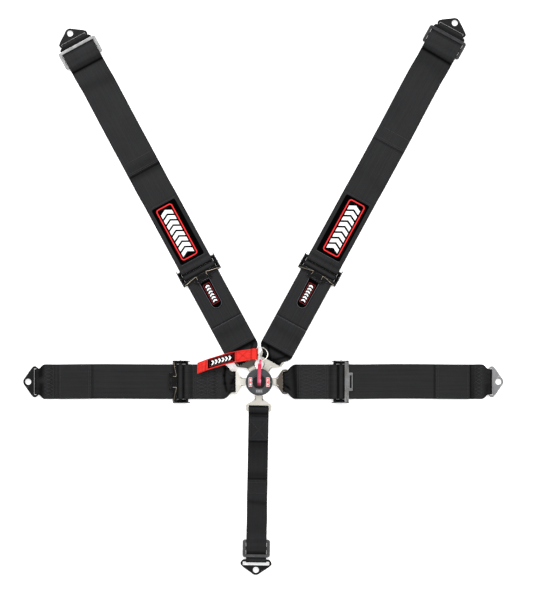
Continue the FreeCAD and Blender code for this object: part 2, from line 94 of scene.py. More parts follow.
# ------------------------------------------------------------------ materials
class Nodes:
    def __init__(self, name):
        self.m = bpy.data.materials.new(name)
        self.m.use_nodes = True
        self.t = self.m.node_tree
        self.t.nodes.clear()
        self.out = self.t.nodes.new("ShaderNodeOutputMaterial")
        self.b = self.t.nodes.new("ShaderNodeBsdfPrincipled")
        self.link(self.b.outputs[0], self.out.inputs[0])

    def link(self, a, b):
        self.t.links.new(a, b)

    def new(self, kind, **props):
        n = self.t.nodes.new(kind)
        for k, v in props.items():
            if k == "inputs":
                for name, value in v.items():
                    if isinstance(value, bpy.types.NodeSocket):
                        self.link(value, n.inputs[name])
                    else:
                        n.inputs[name].default_value = value
            else:
                setattr(n, k, v)
        return n

    def set(self, **values):
        for k, v in values.items():
            key = k.replace("_", " ")
            if isinstance(v, bpy.types.NodeSocket):
                self.link(v, self.b.inputs[key])
            else:
                self.b.inputs[key].default_value = v

    def noise(self, vector, scale, detail=4.0, rough=0.6):
        return self.new("ShaderNodeTexNoise", inputs={"Vector": vector, "Scale": scale, "Detail": detail, "Roughness": rough}).outputs["Fac"]

    def ramp(self, fac, a, b, lo=0.0, hi=1.0):
        n = self.new("ShaderNodeMapRange", inputs={"Value": fac, "From Min": lo, "From Max": hi, "To Min": a, "To Max": b})
        return n.outputs["Result"]

    def mix(self, fac, a, b):
        n = self.new("ShaderNodeMix", data_type="RGBA")
        ins = [i for i in n.inputs if i.type == "RGBA"]
        for sock, value in ((n.inputs[0], fac), (ins[0], a), (ins[1], b)):
            if isinstance(value, bpy.types.NodeSocket):
                self.link(value, sock)
            else:
                sock.default_value = value
        return [o for o in n.outputs if o.type == "RGBA"][0]

    def math(self, op, a, b=0.0):
        n = self.new("ShaderNodeMath", operation=op)
        for i, v in enumerate((a, b)):
            if isinstance(v, bpy.types.NodeSocket):
                self.link(v, n.inputs[i])
            else:
                n.inputs[i].default_value = v
        return n.outputs[0]

    def bump(self, height, strength, distance):
        n = self.new("ShaderNodeBump", inputs={"Height": height, "Strength": strength, "Distance": distance})
        return n.outputs["Normal"]


def rgb(r, g, b):
    return (r, g, b, 1.0)


def webbing_material(name, base, light, rib=3.0, sheen=0.35, rough=0.62):
    # woven strap: lengthwise ribs, herringbone picks across them, uneven dye and a little fuzz
    n = Nodes(name)
    uv = n.new("ShaderNodeUVMap", uv_map="UVMap").outputs[0]
    obj = n.new("ShaderNodeTexCoord").outputs["Object"]
    sep = n.new("ShaderNodeSeparateXYZ", inputs={0: uv})
    along, across = sep.outputs[0], sep.outputs[1]
    ribs = n.math("SINE", n.math("MULTIPLY", across, 2 * math.pi * 1000 / rib))
    ribs = n.math("ADD", n.math("MULTIPLY", ribs, 0.5), 0.5)
    skew = n.math("ABSOLUTE", n.math("SINE", n.math("MULTIPLY", across, math.pi * 1000 / rib)))
    picks = n.math("SINE", n.math("ADD", n.math("MULTIPLY", along, 2 * math.pi * 1000 / 1.45), n.math("MULTIPLY", skew, 2.6)))
    picks = n.math("ADD", n.math("MULTIPLY", picks, 0.5), 0.5)
    yarn = n.math("SINE", n.math("MULTIPLY", across, 2 * math.pi * 1000 / 0.75))
    weave = n.math("ADD", n.math("MULTIPLY", picks, 0.55), n.math("ADD", n.math("MULTIPLY", ribs, 0.45), n.math("MULTIPLY", yarn, 0.12)))
    cloud = n.noise(obj, 14.0, 5.0, 0.65)
    streak = n.new("ShaderNodeCombineXYZ", inputs={0: n.math("MULTIPLY", along, 9.0), 1: n.math("MULTIPLY", across, 300.0), 2: 0.0}).outputs[0]
    streaks = n.noise(streak, 1.0, 3.0, 0.5)
    fine = n.new("ShaderNodeCombineXYZ", inputs={0: n.math("MULTIPLY", along, 3.0), 1: n.math("MULTIPLY", across, 620.0), 2: 7.0}).outputs[0]
    fines = n.noise(fine, 1.0, 2.0, 0.5)
    tone = n.math("ADD", n.math("MULTIPLY", weave, 0.28), n.math("ADD", n.math("MULTIPLY", cloud, 0.4), n.math("MULTIPLY", n.math("ADD", streaks, fines), 0.5)))
    tone = n.ramp(tone, 0.0, 1.0, 0.42, 0.98)
    colour = n.mix(tone, base, light)
    # painted shade: the shade attribute darkens the colour towards near black and dims the specular
    shade = n.new("ShaderNodeAttribute", attribute_name="shade").outputs["Fac"]
    n.set(Base_Color=n.mix(shade, tuple(0.12 * c for c in base[:3]) + (1.0,), colour), Roughness=n.ramp(streaks, rough - 0.06, rough + 0.12),
          Normal=n.bump(n.math("ADD", weave, n.math("MULTIPLY", n.noise(obj, 2600.0, 2.0), 0.25)), 0.55, 0.00045),
          Sheen_Weight=sheen, Sheen_Roughness=0.45, Sheen_Tint=light)
    n.link(n.math("MULTIPLY", shade, 0.16), n.b.inputs["Specular IOR Level"])
    return n.m


def thread_material(name, base, light):
    n = Nodes(name)
    obj = n.new("ShaderNodeTexCoord").outputs["Object"]
    twist = n.new("ShaderNodeTexWave", wave_type="BANDS", bands_direction="DIAGONAL",
                  inputs={"Vector": obj, "Scale": 900.0, "Distortion": 1.5, "Detail": 1.0})
    fac = twist.outputs["Fac"]
    n.set(Base_Color=n.mix(fac, base, light), Roughness=0.5, Normal=n.bump(fac, 0.4, 0.0001), Sheen_Weight=0.05)
    n.b.inputs["Specular IOR Level"].default_value = 0.2
    return n.m


def metal_material(name, base, light, metallic=1.0, rough=0.32, brush=0.0, grain=900.0, coat=0.0, wear=None, spec=0.3):
    # rolled or cast metal: fine grain, smudges, small scratches and brighter worn edges
    n = Nodes(name)
    obj = n.new("ShaderNodeTexCoord").outputs["Object"]
    smudge = n.noise(obj, 60.0, 5.0, 0.6)
    fine = n.noise(obj, grain, 3.0, 0.55)
    stretch = n.new("ShaderNodeMapping", inputs={"Vector": obj, "Scale": (30.0, 900.0, 900.0) if brush else (400.0, 400.0, 400.0)}).outputs[0]
    scratch = n.noise(stretch, 1.0, 3.0, 0.7)
    tone = n.ramp(n.math("ADD", n.math("MULTIPLY", smudge, 0.6), n.math("MULTIPLY", scratch, 0.4)), 0.0, 1.0, 0.35, 0.68)
    colour = n.mix(tone, base, light)
    if wear is not None:
        edge = n.new("ShaderNodeNewGeometry").outputs["Pointiness"]
        worn = n.ramp(n.math("ADD", edge, n.math("MULTIPLY", n.math("SUBTRACT", fine, 0.5), 0.03)), 0.0, 1.0, 0.53, 0.60)
        colour = n.mix(worn, colour, wear)
    height = n.math("ADD", n.math("MULTIPLY", fine, 0.5), n.math("MULTIPLY", scratch, 0.5))
    n.set(Base_Color=colour, Metallic=metallic, Roughness=n.ramp(smudge, rough - 0.06, rough + 0.1, 0.3, 0.7),
          Normal=n.bump(height, 0.07 + 0.1 * brush, 0.0001), Coat_Weight=coat, Coat_Roughness=0.2)
    n.b.inputs["Specular IOR Level"].default_value = spec
    return n.m


def plate_shaded_at_slot(name, deg, lo, hi, shade_tone):
    # plated neck with painted shade, turning darker towards the strap's slot
    m = metal_material(name, rgb(0.70, 0.675, 0.61), rgb(0.80, 0.775, 0.715), 1.0, 0.33, grain=1500.0, wear=rgb(0.85, 0.80, 0.74))
    t = m.node_tree
    b = next(n for n in t.nodes if n.type == "BSDF_PRINCIPLED")
    old = b.inputs["Base Color"].links[0].from_socket
    coord = t.nodes.new("ShaderNodeTexCoord")
    sep = t.nodes.new("ShaderNodeSeparateXYZ")
    t.links.new(coord.outputs["Object"], sep.inputs[0])
    out = []
    for k, f in ((0, math.cos(math.radians(deg))), (1, math.sin(math.radians(deg)))):
        m2 = t.nodes.new("ShaderNodeMath")
        m2.operation = "MULTIPLY"
        t.links.new(sep.outputs[k], m2.inputs[0])
        m2.inputs[1].default_value = f
        out.append(m2.outputs[0])
    total = t.nodes.new("ShaderNodeMath")
    total.operation = "ADD"
    t.links.new(out[0], total.inputs[0])
    t.links.new(out[1], total.inputs[1])
    fade = t.nodes.new("ShaderNodeMapRange")
    fade.interpolation_type = "SMOOTHSTEP"
    fade.inputs["From Min"].default_value, fade.inputs["From Max"].default_value = lo, hi
    t.links.new(total.outputs[0], fade.inputs["Value"])
    mix = t.nodes.new("ShaderNodeMix")
    mix.data_type, mix.blend_type = "RGBA", "MULTIPLY"
    ins = [i for i in mix.inputs if i.type == "RGBA"]
    t.links.new(fade.outputs["Result"], mix.inputs[0])
    t.links.new(old, ins[0])
    ins[1].default_value = shade_tone
    t.links.new([o for o in mix.outputs if o.type == "RGBA"][0], b.inputs["Base Color"])
    return m


def print_material(name, base, light, rough=0.5, spec=0.25):
    # ink or moulded rubber with faint cloth show-through
    n = Nodes(name)
    obj = n.new("ShaderNodeTexCoord").outputs["Object"]
    cell = n.new("ShaderNodeTexVoronoi", inputs={"Vector": obj, "Scale": 1100.0}).outputs["Distance"]
    cloud = n.noise(obj, 45.0, 4.0, 0.6)
    tone = n.ramp(n.math("ADD", n.math("MULTIPLY", cell, 0.4), n.math("MULTIPLY", cloud, 0.6)), 0.0, 1.0, 0.25, 0.75)
    n.set(Base_Color=n.mix(tone, base, light), Roughness=n.ramp(cloud, rough - 0.05, rough + 0.1), Normal=n.bump(cell, 0.25, 0.00015))
    n.b.inputs["Specular IOR Level"].default_value = spec
    return n.m


M = {
    "web": webbing_material("webbing_black", rgb(0.0036, 0.0037, 0.0040), rgb(0.0160, 0.0163, 0.0172), sheen=0.04),
    "web_lap": webbing_material("webbing_black_lap", rgb(0.0037, 0.0037, 0.0041), rgb(0.0151, 0.0153, 0.0161), rib=2.6, sheen=0.04),
    "web_crotch": webbing_material("webbing_black_narrow", rgb(0.0031, 0.0032, 0.0036), rgb(0.0123, 0.0125, 0.0134), rib=2.4, sheen=0.04),
    "red_web": webbing_material("webbing_red", rgb(0.39, 0.0055, 0.0045), rgb(0.72, 0.027, 0.019), rib=1.8, sheen=0.0),
    "thread": thread_material("thread_black", rgb(0.014, 0.014, 0.016), rgb(0.052, 0.052, 0.056)),
    "thread_red": thread_material("thread_red", rgb(0.26, 0.003, 0.005), rgb(0.42, 0.012, 0.012)),
    "thread_grey": thread_material("thread_grey", rgb(0.045, 0.049, 0.056), rgb(0.115, 0.122, 0.135)),
    "label": print_material("label_black", rgb(0.0004, 0.0004, 0.0004), rgb(0.0009, 0.0009, 0.0009), 0.7, 0.01),
    "white": print_material("print_white", rgb(0.80, 0.80, 0.80), rgb(0.93, 0.93, 0.93), 0.5),
    "red": print_material("print_red", rgb(0.60, 0.008, 0.010), rgb(0.80, 0.02, 0.02), 0.5),
    "red_dark": print_material("print_red_dark", rgb(0.12, 0.001, 0.002), rgb(0.19, 0.003, 0.004), 0.5),
    "grey": print_material("print_grey", rgb(0.085, 0.086, 0.09), rgb(0.13, 0.132, 0.138), 0.5),
    "grey_light": print_material("print_grey_light", rgb(0.30, 0.30, 0.31), rgb(0.40, 0.40, 0.41), 0.5),
    "case": metal_material("case_steel", rgb(0.010, 0.010, 0.011), rgb(0.024, 0.024, 0.026), 0.5, 0.36, wear=rgb(0.12, 0.12, 0.12)),
    "ring": metal_material("ring_graphite", rgb(0.060, 0.062, 0.066), rgb(0.085, 0.087, 0.092), 0.8, 0.42, wear=rgb(0.15, 0.15, 0.15)),
    "zinc": metal_material("zinc_steel", rgb(0.50, 0.50, 0.49), rgb(0.66, 0.65, 0.63), 1.0, 0.3),
    "knob": metal_material("knob_black", rgb(0.004, 0.004, 0.0045), rgb(0.010, 0.010, 0.011), 0.3, 0.36, wear=rgb(0.05, 0.05, 0.05)),
    "lever": metal_material("lever_red", rgb(0.62, 0.014, 0.055), rgb(0.74, 0.024, 0.075), 0.8, 0.25, coat=0.15, grain=1500.0, wear=rgb(0.95, 0.30, 0.38)),
    "spring": metal_material("spring_steel", rgb(0.25, 0.25, 0.26), rgb(0.45, 0.45, 0.46), 1.0, 0.28),
    "nickel": metal_material("plated_nickel", rgb(0.70, 0.675, 0.61), rgb(0.80, 0.775, 0.715), 1.0, 0.33, grain=1500.0, wear=rgb(0.92, 0.90, 0.85)),
    "nickel_dark": metal_material("plated_nickel_dark", rgb(0.115, 0.112, 0.108), rgb(0.18, 0.175, 0.168), 1.0, 0.36, grain=1500.0, wear=rgb(0.6, 0.58, 0.55)),
    "nickel_grey": metal_material("plated_nickel_grey", rgb(0.36, 0.35, 0.325), rgb(0.48, 0.465, 0.435), 1.0, 0.35, grain=1500.0, wear=rgb(0.85, 0.83, 0.78)),
    # latch plates with painted shade towards the strap's slot
    "nickel_slot_shade": plate_shaded_at_slot("plated_nickel_slot_shade", 0.0, 0.0345, 0.0395, rgb(0.16, 0.14, 0.125)),
    "nickel_shadow": plate_shaded_at_slot("plated_nickel_shadow", 118.5, 0.0335, 0.0385, rgb(0.15, 0.143, 0.136)),
    # painted light and painted shade: a lighter and a darker copy of the same nickel plating for single latch plates
    "nickel_lit": metal_material("plated_nickel_lit", rgb(0.72, 0.695, 0.63), rgb(0.81, 0.785, 0.72), 0.85, 0.36, grain=1500.0, wear=rgb(0.96, 0.95, 0.92)),
    "nickel_shaded": metal_material("plated_nickel_shaded", rgb(0.60, 0.575, 0.51), rgb(0.70, 0.675, 0.61), 1.0, 0.34, grain=1500.0, wear=rgb(0.92, 0.90, 0.85)),
    "bracket": metal_material("bracket_black", rgb(0.0030, 0.0030, 0.0033), rgb(0.0085, 0.0085, 0.0090), 0.1, 0.44, wear=rgb(0.045, 0.045, 0.045), spec=0.14),
    "bracket_silver": metal_material("bracket_silver", rgb(0.20, 0.20, 0.205), rgb(0.28, 0.28, 0.285), 0.9, 0.42, wear=rgb(0.45, 0.45, 0.45)),
    "slide_silver": metal_material("slide_silver", rgb(0.20, 0.20, 0.203), rgb(0.29, 0.29, 0.293), 1.0, 0.34, wear=rgb(0.50, 0.50, 0.50)),
    "slide_grey": metal_material("slide_grey", rgb(0.020, 0.020, 0.022), rgb(0.045, 0.045, 0.048), 0.6, 0.34, wear=rgb(0.35, 0.35, 0.35)),
    "slide_steel": metal_material("slide_steel", rgb(0.060, 0.060, 0.062), rgb(0.105, 0.105, 0.108), 0.8, 0.34, wear=rgb(0.35, 0.35, 0.35)),
    "adjuster": metal_material("adjuster_black", rgb(0.002, 0.002, 0.0022), rgb(0.0055, 0.0055, 0.006), 0.05, 0.46, spec=0.1),
    # painted highlight: bright metal put on the adjuster frames' bevelled edges, where they catch the light
    "adjuster_edge_highlight": metal_material("adjuster_edge_highlight", rgb(0.10, 0.10, 0.102), rgb(0.30, 0.30, 0.305), 0.9, 0.34),
    "adjuster_silver_and_highlight": metal_material("adjuster_silver_and_highlight", rgb(0.13, 0.13, 0.133), rgb(0.27, 0.27, 0.275), 0.95, 0.34),
    "gold": metal_material("spring_gold", rgb(0.26, 0.22, 0.165), rgb(0.44, 0.38, 0.30), 1.0, 0.28),
}


def light_and_shade_along_y(m, stops):
    """Multiply a material's base colour by painted highlights and painted shade placed along the object's y, in metres.
    """
    t = m.node_tree
    b = next(n for n in t.nodes if n.type == "BSDF_PRINCIPLED")
    old = b.inputs["Base Color"].links[0].from_socket
    coord = t.nodes.new("ShaderNodeTexCoord")
    sep = t.nodes.new("ShaderNodeSeparateXYZ")
    t.links.new(coord.outputs["Object"], sep.inputs[0])
    lo, hi = stops[0][0], stops[-1][0]
    place = t.nodes.new("ShaderNodeMapRange")
    place.inputs["From Min"].default_value, place.inputs["From Max"].default_value = lo, hi
    t.links.new(sep.outputs[1], place.inputs["Value"])
    ramp = t.nodes.new("ShaderNodeValToRGB")
    while len(ramp.color_ramp.elements) < len(stops):
        ramp.color_ramp.elements.new(0.5)
    for e, (y, tone) in zip(ramp.color_ramp.elements, stops):
        e.position = (y - lo) / (hi - lo)
        e.color = (*tone, 1.0)
    t.links.new(place.outputs["Result"], ramp.inputs[0])
    mix = t.nodes.new("ShaderNodeMix")
    mix.data_type, mix.blend_type = "RGBA", "MULTIPLY"
    mix.inputs[0].default_value = 1.0
    ins = [i for i in mix.inputs if i.type == "RGBA"]
    t.links.new(old, ins[0])
    t.links.new(ramp.outputs[0], ins[1])
    t.links.new([o for o in mix.outputs if o.type == "RGBA"][0], b.inputs["Base Color"])


# lever: painted shade at the hub's lower end, painted highlights at the hub and at the tip
light_and_shade_along_y(M["lever"], ((-0.010, (0.30, 0.30, 0.30)), (-0.0025, (0.42, 0.42, 0.42)), (0.0005, (1.0, 1.35, 1.5)), (0.0045, (1.0, 1.35, 1.5)), (0.0075, (0.8, 0.8, 0.8)),
                          (0.030, (1.0, 1.0, 1.0)), (0.045, (1.0, 1.3, 1.35))))


# ------------------------------------------------------------------ mesh helpers
def new_object(name, verts, faces, material, sharp=40.0, uvs=None, shade=None):
    mesh = bpy.data.meshes.new(name)
    mesh.from_pydata([tuple(v) for v in np.asarray(verts, float)], [], faces)
    if shade is not None:
        mesh.attributes.new("shade", "FLOAT", "POINT").data.foreach_set("value", np.asarray(shade, np.float32))
    if uvs is not None:
        layer = mesh.uv_layers.new(name="UVMap")
        loops = np.zeros(len(mesh.loops), np.int32)
        mesh.loops.foreach_get("vertex_index", loops)
        layer.data.foreach_set("uv", np.asarray(uvs, np.float32)[loops].ravel())
    mesh.validate()
    bm = bmesh.new()
    bm.from_mesh(mesh)
    bmesh.ops.recalc_face_normals(bm, faces=bm.faces[:])
    bm.to_mesh(mesh)
    bm.free()
    mesh.shade_smooth()
    mesh.set_sharp_from_angle(angle=math.radians(sharp))
    mesh.materials.append(material)
    o = bpy.data.objects.new(name, mesh)
    bpy.context.scene.collection.objects.link(o)
    return o


def attach(o, body=None, blend=None, replaces=()):
    if blend is not None:
        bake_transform(o)
    else:
        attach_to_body(o, body)
    if replaces:
        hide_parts(*replaces)
    return o


def arc(cx, cz, r, d0, d1, n=14):
    return [(cx + r * math.cos(math.radians(d0 + (d1 - d0) * i / n)), cz + r * math.sin(math.radians(d0 + (d1 - d0) * i / n))) for i in range(n + 1)]


def smooth_path(points, sigma=1.0, ds=0.4):
    p = np.array(points, float)
    keep = np.concatenate([[True], np.linalg.norm(np.diff(p, axis=0), axis=1) > 1e-6])
    p = p[keep]
    s = np.concatenate([[0.0], np.cumsum(np.linalg.norm(np.diff(p, axis=0), axis=1))])
    n = max(12, int(s[-1] / ds))
    t = np.linspace(0, s[-1], n + 1)
    q = np.stack([np.interp(t, s, p[:, k]) for k in range(p.shape[1])], 1)
    step = s[-1] / n
    m = max(1, int(3 * sigma / step))
    k = np.exp(-0.5 * (np.arange(-m, m + 1) * step / sigma) ** 2)
    k /= k.sum()
    e = np.concatenate([2 * q[0] - q[m:0:-1], q, 2 * q[-1] - q[-2:-m - 2:-1]])
    return np.stack([np.convolve(e[:, j], k, "valid") for j in range(p.shape[1])], 1)


def thin_path(q, coarse, turn=0.16):
    d = np.diff(q, axis=0)
    seg = np.linalg.norm(d, axis=1)
    t = d / np.maximum(seg, 1e-9)[:, None]
    bend = np.zeros(len(seg))
    bend[1:] = np.arccos(np.clip((t[1:] * t[:-1]).sum(1), -1, 1))
    cost = np.concatenate([[0.0], np.cumsum(seg / coarse + bend / turn)])
    n = max(6, int(math.ceil(cost[-1])))
    at = np.linspace(0, cost[-1], n + 1)
    return np.stack([np.interp(at, cost, q[:, k]) for k in range(q.shape[1])], 1)


def step01(x):
    x = np.clip(x, 0.0, 1.0)
    return x * x * (3 - 2 * x)


class Wave:
    """Slow unevenness of a belt lying on the floor, shared by all its layers so that they stay stacked."""

    def __init__(self, seed, spans):
        self.seed, self.spans = seed, spans

    def window(self, u):
        a = np.zeros_like(u)
        for lo, hi, amp, fade in self.spans:
            a = np.maximum(a, amp * step01((u - lo) / fade) * step01((hi - u) / fade))
        return a

    def __call__(self, u, v):
        s = self.seed
        f = (np.sin(u / 31.0 + v / 47.0 + s) + 0.7 * np.sin(u / 17.0 - v / 29.0 + 2.1 * s) + 0.4 * np.sin(u / 9.5 + v / 21.0 + 3.7 * s)) / 2.1
        edge = (np.abs(v) / 38.0) ** 3 * (0.6 + 0.4 * np.sin(u / 26.0 + s))
        return self.window(u) * (0.5 + 0.5 * f + 0.5 * edge)

    def sway(self, u):
        s = self.seed
        return self.window(u) * (0.9 * np.sin(u / 83.0 + s) + 0.35 * np.sin(u / 37.0 + 1.3 * s))


FLAT = Wave(0.0, [])


def strap(name, points, halves, xf, material, thick=WEB_T, cols=46, coarse=4.0, sigma=1.0, wave=FLAT, outer=1.0, pleats=(), rib=0.09,
          mid=None, round_start=0.0, round_end=0.0, floor=0.12, dents=()):
    """Flat woven strap along a side path (u, z), closed at both ends. halves is (u, half width) pairs.
    dents are folds and creases pressed into it, each darkened by painted shade: (u0, v0, u1, v1, width, depth, painted
    shade)."""
    q = thin_path(smooth_path(points, sigma), coarse)
    hu = np.array(sorted(halves), float)
    u, z = q[:, 0], q[:, 1]
    seg = np.concatenate([[0.0], np.cumsum(np.linalg.norm(np.diff(q, axis=0), axis=1))])
    half = np.interp(u, hu[:, 0], hu[:, 1])
    full = hu[:, 1].max()
    for r, d in ((round_start, seg), (round_end, seg[-1] - seg)):
        if r:
            x = np.clip(r - d, 0.0, r)
            half = half - (r - np.sqrt(np.maximum(r * r - x * x, 0.0)))
    t = np.gradient(q, axis=0)
    t /= np.maximum(np.linalg.norm(t, axis=1), 1e-9)[:, None]
    normal = np.stack([-t[:, 1], t[:, 0]], 1)
    lim = thick / 2
    body = np.linspace(-1.0, 1.0, cols + 1)
    centre = np.zeros_like(u) if mid is None else np.interp(u, [m[0] for m in mid], [m[1] for m in mid])
    if mid is None:
        centre = wave.sway(u)
    inner = half[:, None] - 1.0
    v = np.concatenate([-half[:, None], -(half[:, None] - 0.42), inner * body[None, :], half[:, None] - 0.42, half[:, None]], 1)
    fac = np.concatenate([[0.40, 0.90], np.ones(cols + 1), [0.90, 0.40]])
    alt = np.concatenate([[0, 0.2], np.where(np.arange(cols + 1) % 2 == 0, 1.0, -1.0), [0.2, 0]])
    th = lim * fac[None, :] + rib * alt[None, :] * 0.5
    gather = np.clip(1.0 - half / full, 0.0, 1.0)[:, None] / 0.4
    out = np.zeros_like(v)
    for lam, amp, phase in pleats:
        c = v / np.maximum(half[:, None], 1e-6)
        out += amp * np.clip(gather, 0, 1) * (0.5 + 0.5 * np.cos(2 * math.pi * c * full / lam + phase)) * (0.35 + 0.65 * np.abs(c))
    up = np.clip((outer * normal[:, 1] + 0.35) / 1.35, 0.0, 1.0)[:, None]
    # shade is painted shade: darker in the pleats' valleys, along both long edges and along each dent
    shade = np.ones_like(v)
    if pleats:
        shade -= 0.5 * np.clip(gather, 0, 1) * (1.0 - np.clip(out / max(1e-6, sum(p[1] for p in pleats)), 0, 1))
    out *= up
    if floor is not None:
        shade -= 0.4 * np.exp(-((half[:, None] - np.abs(v)) / 1.4) ** 2)
    uu = u[:, None] + 0 * v
    for du0, dv0, du1, dv1, wide, deep, painted_shade in dents:
        e = np.array([du1 - du0, dv1 - dv0])
        f = np.clip(((uu - du0) * e[0] + (v - dv0) * e[1]) / (e @ e), 0.0, 1.0)
        g = np.exp(-(np.hypot(uu - du0 - f * e[0], v - dv0 - f * e[1]) / wide) ** 2)
        out -= deep * g * up
        shade *= 1.0 - painted_shade * g
    lift = wave(u[:, None] + 0 * v, v)
    sides = []
    for sgn in (1.0, -1.0):
        d = sgn * th + (outer * np.maximum(out, -0.9) if sgn == outer else 0.6 * outer * np.maximum(out, 0.0))
        pu = u[:, None] + normal[:, :1] * d
        pz = z[:, None] + normal[:, 1:] * d + lift
        if floor is not None:
            pz = np.maximum(pz, floor)
        sides.append(np.stack([pu, v + centre[:, None], pz], -1))
    rows, width = v.shape
    pts = np.concatenate([sides[0].reshape(-1, 3), sides[1].reshape(-1, 3)])
    along = np.repeat(seg, width) * MM
    frac = np.clip(v / np.maximum(half[:, None], 1e-6), -1, 1) * full
    uv = np.stack([along, frac.reshape(-1) * MM], 1)
    uvs = np.concatenate([uv, uv + [0.37, 0.0]])
    n = rows * width
    faces = []
    i, j = np.meshgrid(np.arange(rows - 1), np.arange(width - 1), indexing="ij")
    a = (i * width + j).ravel()
    top = np.stack([a, a + 1, a + width + 1, a + width], 1)
    bottom = top[:, ::-1] + n
    faces += top.tolist() + bottom.tolist()
    for r in range(rows - 1):
        for c, flip in ((0, False), (width - 1, True)):
            p, q2 = r * width + c, (r + 1) * width + c
            f = [p, q2, q2 + n, p + n]
            faces.append(f[::-1] if flip else f)
    for r, flip in ((0, True), (rows - 1, False)):
        for c in range(width - 1):
            p = r * width + c
            f = [p, p + 1, p + 1 + n, p + n]
            faces.append(f[::-1] if flip else f)
    return new_object(name, xf(pts), faces, material, 62.0, uvs, np.concatenate([shade.reshape(-1)] * 2))


class Threads:
    """Stitches as small closed beads, collected into one mesh."""

    def __init__(self, xf, wave=FLAT, width=0.75, height=0.42):
        self.xf, self.wave, self.w, self.h = xf, wave, width, height
        self.v, self.f = [], []

    def stitch(self, a, b, z0, z1):
        a, b = np.array(a, float), np.array(b, float)
        d = b - a
        k = np.linalg.norm(d)
        if k < 1e-6:
            return
        d /= k
        s = np.array([-d[1], d[0]])
        base = len(self.v)

        def lift(p, z):
            return float(self.wave(np.array([p[0]]), np.array([p[1]]))[0]) + z, p[1] + float(self.wave.sway(np.array([p[0]]))[0])

        for f in (0.0, 0.2, 0.8, 1.0):
            p = a + d * k * f
            z = z0 + (z1 - z0) * f
            zz, yy = lift(p, z)
            if f in (0.0, 1.0):
                self.v.append((p[0], yy, zz - 0.25))
            else:
                for side, up in ((1.0, 0.0), (0.45, 1.0), (-0.45, 1.0), (-1.0, 0.0), (0.0, -0.6)):
                    self.v.append((p[0] + s[0] * side * self.w / 2, yy + s[1] * side * self.w / 2, zz + up * self.h))
        b0, b1, end = base + 1, base + 6, base + 11
        for i in range(5):
            j = (i + 1) % 5
            self.f.append((base, b0 + i, b0 + j))
            self.f.append((b0 + i, b1 + i, b1 + j, b0 + j))
            self.f.append((end, b1 + j, b1 + i))

    def row(self, points, z, pitch=3.1, fill=0.78):
        p = np.array(points, float)
        s = np.concatenate([[0.0], np.cumsum(np.linalg.norm(np.diff(p, axis=0), axis=1))])
        n = max(1, int(round(s[-1] / pitch)))
        for i in range(n):
            a, b = s[-1] * (i + (1 - fill) / 2) / n, s[-1] * (i + (1 + fill) / 2) / n
            pa = (np.interp(a, s, p[:, 0]), np.interp(a, s, p[:, 1]))
            pb = (np.interp(b, s, p[:, 0]), np.interp(b, s, p[:, 1]))
            za = z(pa[0]) if callable(z) else z
            zb = z(pb[0]) if callable(z) else z
            self.stitch(pa, pb, za, zb)

    def box(self, u0, u1, h, z, pitch=3.1):
        self.row([(u0, -h), (u1, -h), (u1, h), (u0, h), (u0, -h)], z, pitch)

    def zigzag(self, u0, u1, h, n, z, pitch=3.1):
        # n points of a W across the strap between u0 and u1
        pts = [(u0 if i % 2 == 0 else u1, -h + 2 * h * i / n) for i in range(n + 1)]
        self.row(pts, z, pitch)

    def make(self, name, material):
        return new_object(name, self.xf(np.array(self.v)), self.f, material, 80.0)


def prisms(name, polys, z0, z1, xf, material, wave=FLAT, bevel=0.12):
    """Thin printed or moulded shapes: each polygon (u, v) becomes a closed plate with softened upper edge."""
    verts, faces = [], []
    for poly in polys:
        p = np.array(poly, float)
        area = 0.5 * np.sum(p[:, 0] * np.roll(p[:, 1], -1) - np.roll(p[:, 0], -1) * p[:, 1])
        if area < 0:
            p = p[::-1]
        n = len(p)
        prev, nxt = np.roll(p, 1, 0), np.roll(p, -1, 0)
        e0 = (p - prev) / np.maximum(np.linalg.norm(p - prev, axis=1), 1e-9)[:, None]
        e1 = (nxt - p) / np.maximum(np.linalg.norm(nxt - p, axis=1), 1e-9)[:, None]
        n0, n1 = np.stack([-e0[:, 1], e0[:, 0]], 1), np.stack([-e1[:, 1], e1[:, 0]], 1)
        m = n0 + n1
        m /= np.maximum((m * n0).sum(1), 0.25)[:, None]
        inset = p + m * bevel
        base = len(verts)
        h = wave(p[:, 0], p[:, 1])
        verts += [(a[0], a[1], z0 + k) for a, k in zip(p, h)]
        verts += [(a[0], a[1], z1 - bevel * 0.6 + k) for a, k in zip(p, h)]
        verts += [(a[0], a[1], z1 + k) for a, k in zip(inset, h)]
        faces.append([base + i for i in range(n)][::-1])
        faces.append([base + 2 * n + i for i in range(n)])
        for i in range(n):
            j = (i + 1) % n
            faces.append((base + i, base + j, base + n + j, base + n + i))
            faces.append((base + n + i, base + n + j, base + 2 * n + j, base + 2 * n + i))
    return new_object(name, xf(np.array(verts)), faces, material, 30.0)


def rounded(u0, u1, v0, v1, r, n=6):
    pts = []
    for cx, cy, d in ((u1 - r, v0 + r, -90), (u1 - r, v1 - r, 0), (u0 + r, v1 - r, 90), (u0 + r, v0 + r, 180)):
        pts += [(cx + r * math.cos(math.radians(d + 90.0 * i / n)), cy + r * math.sin(math.radians(d + 90.0 * i / n))) for i in range(n + 1)]
    return pts


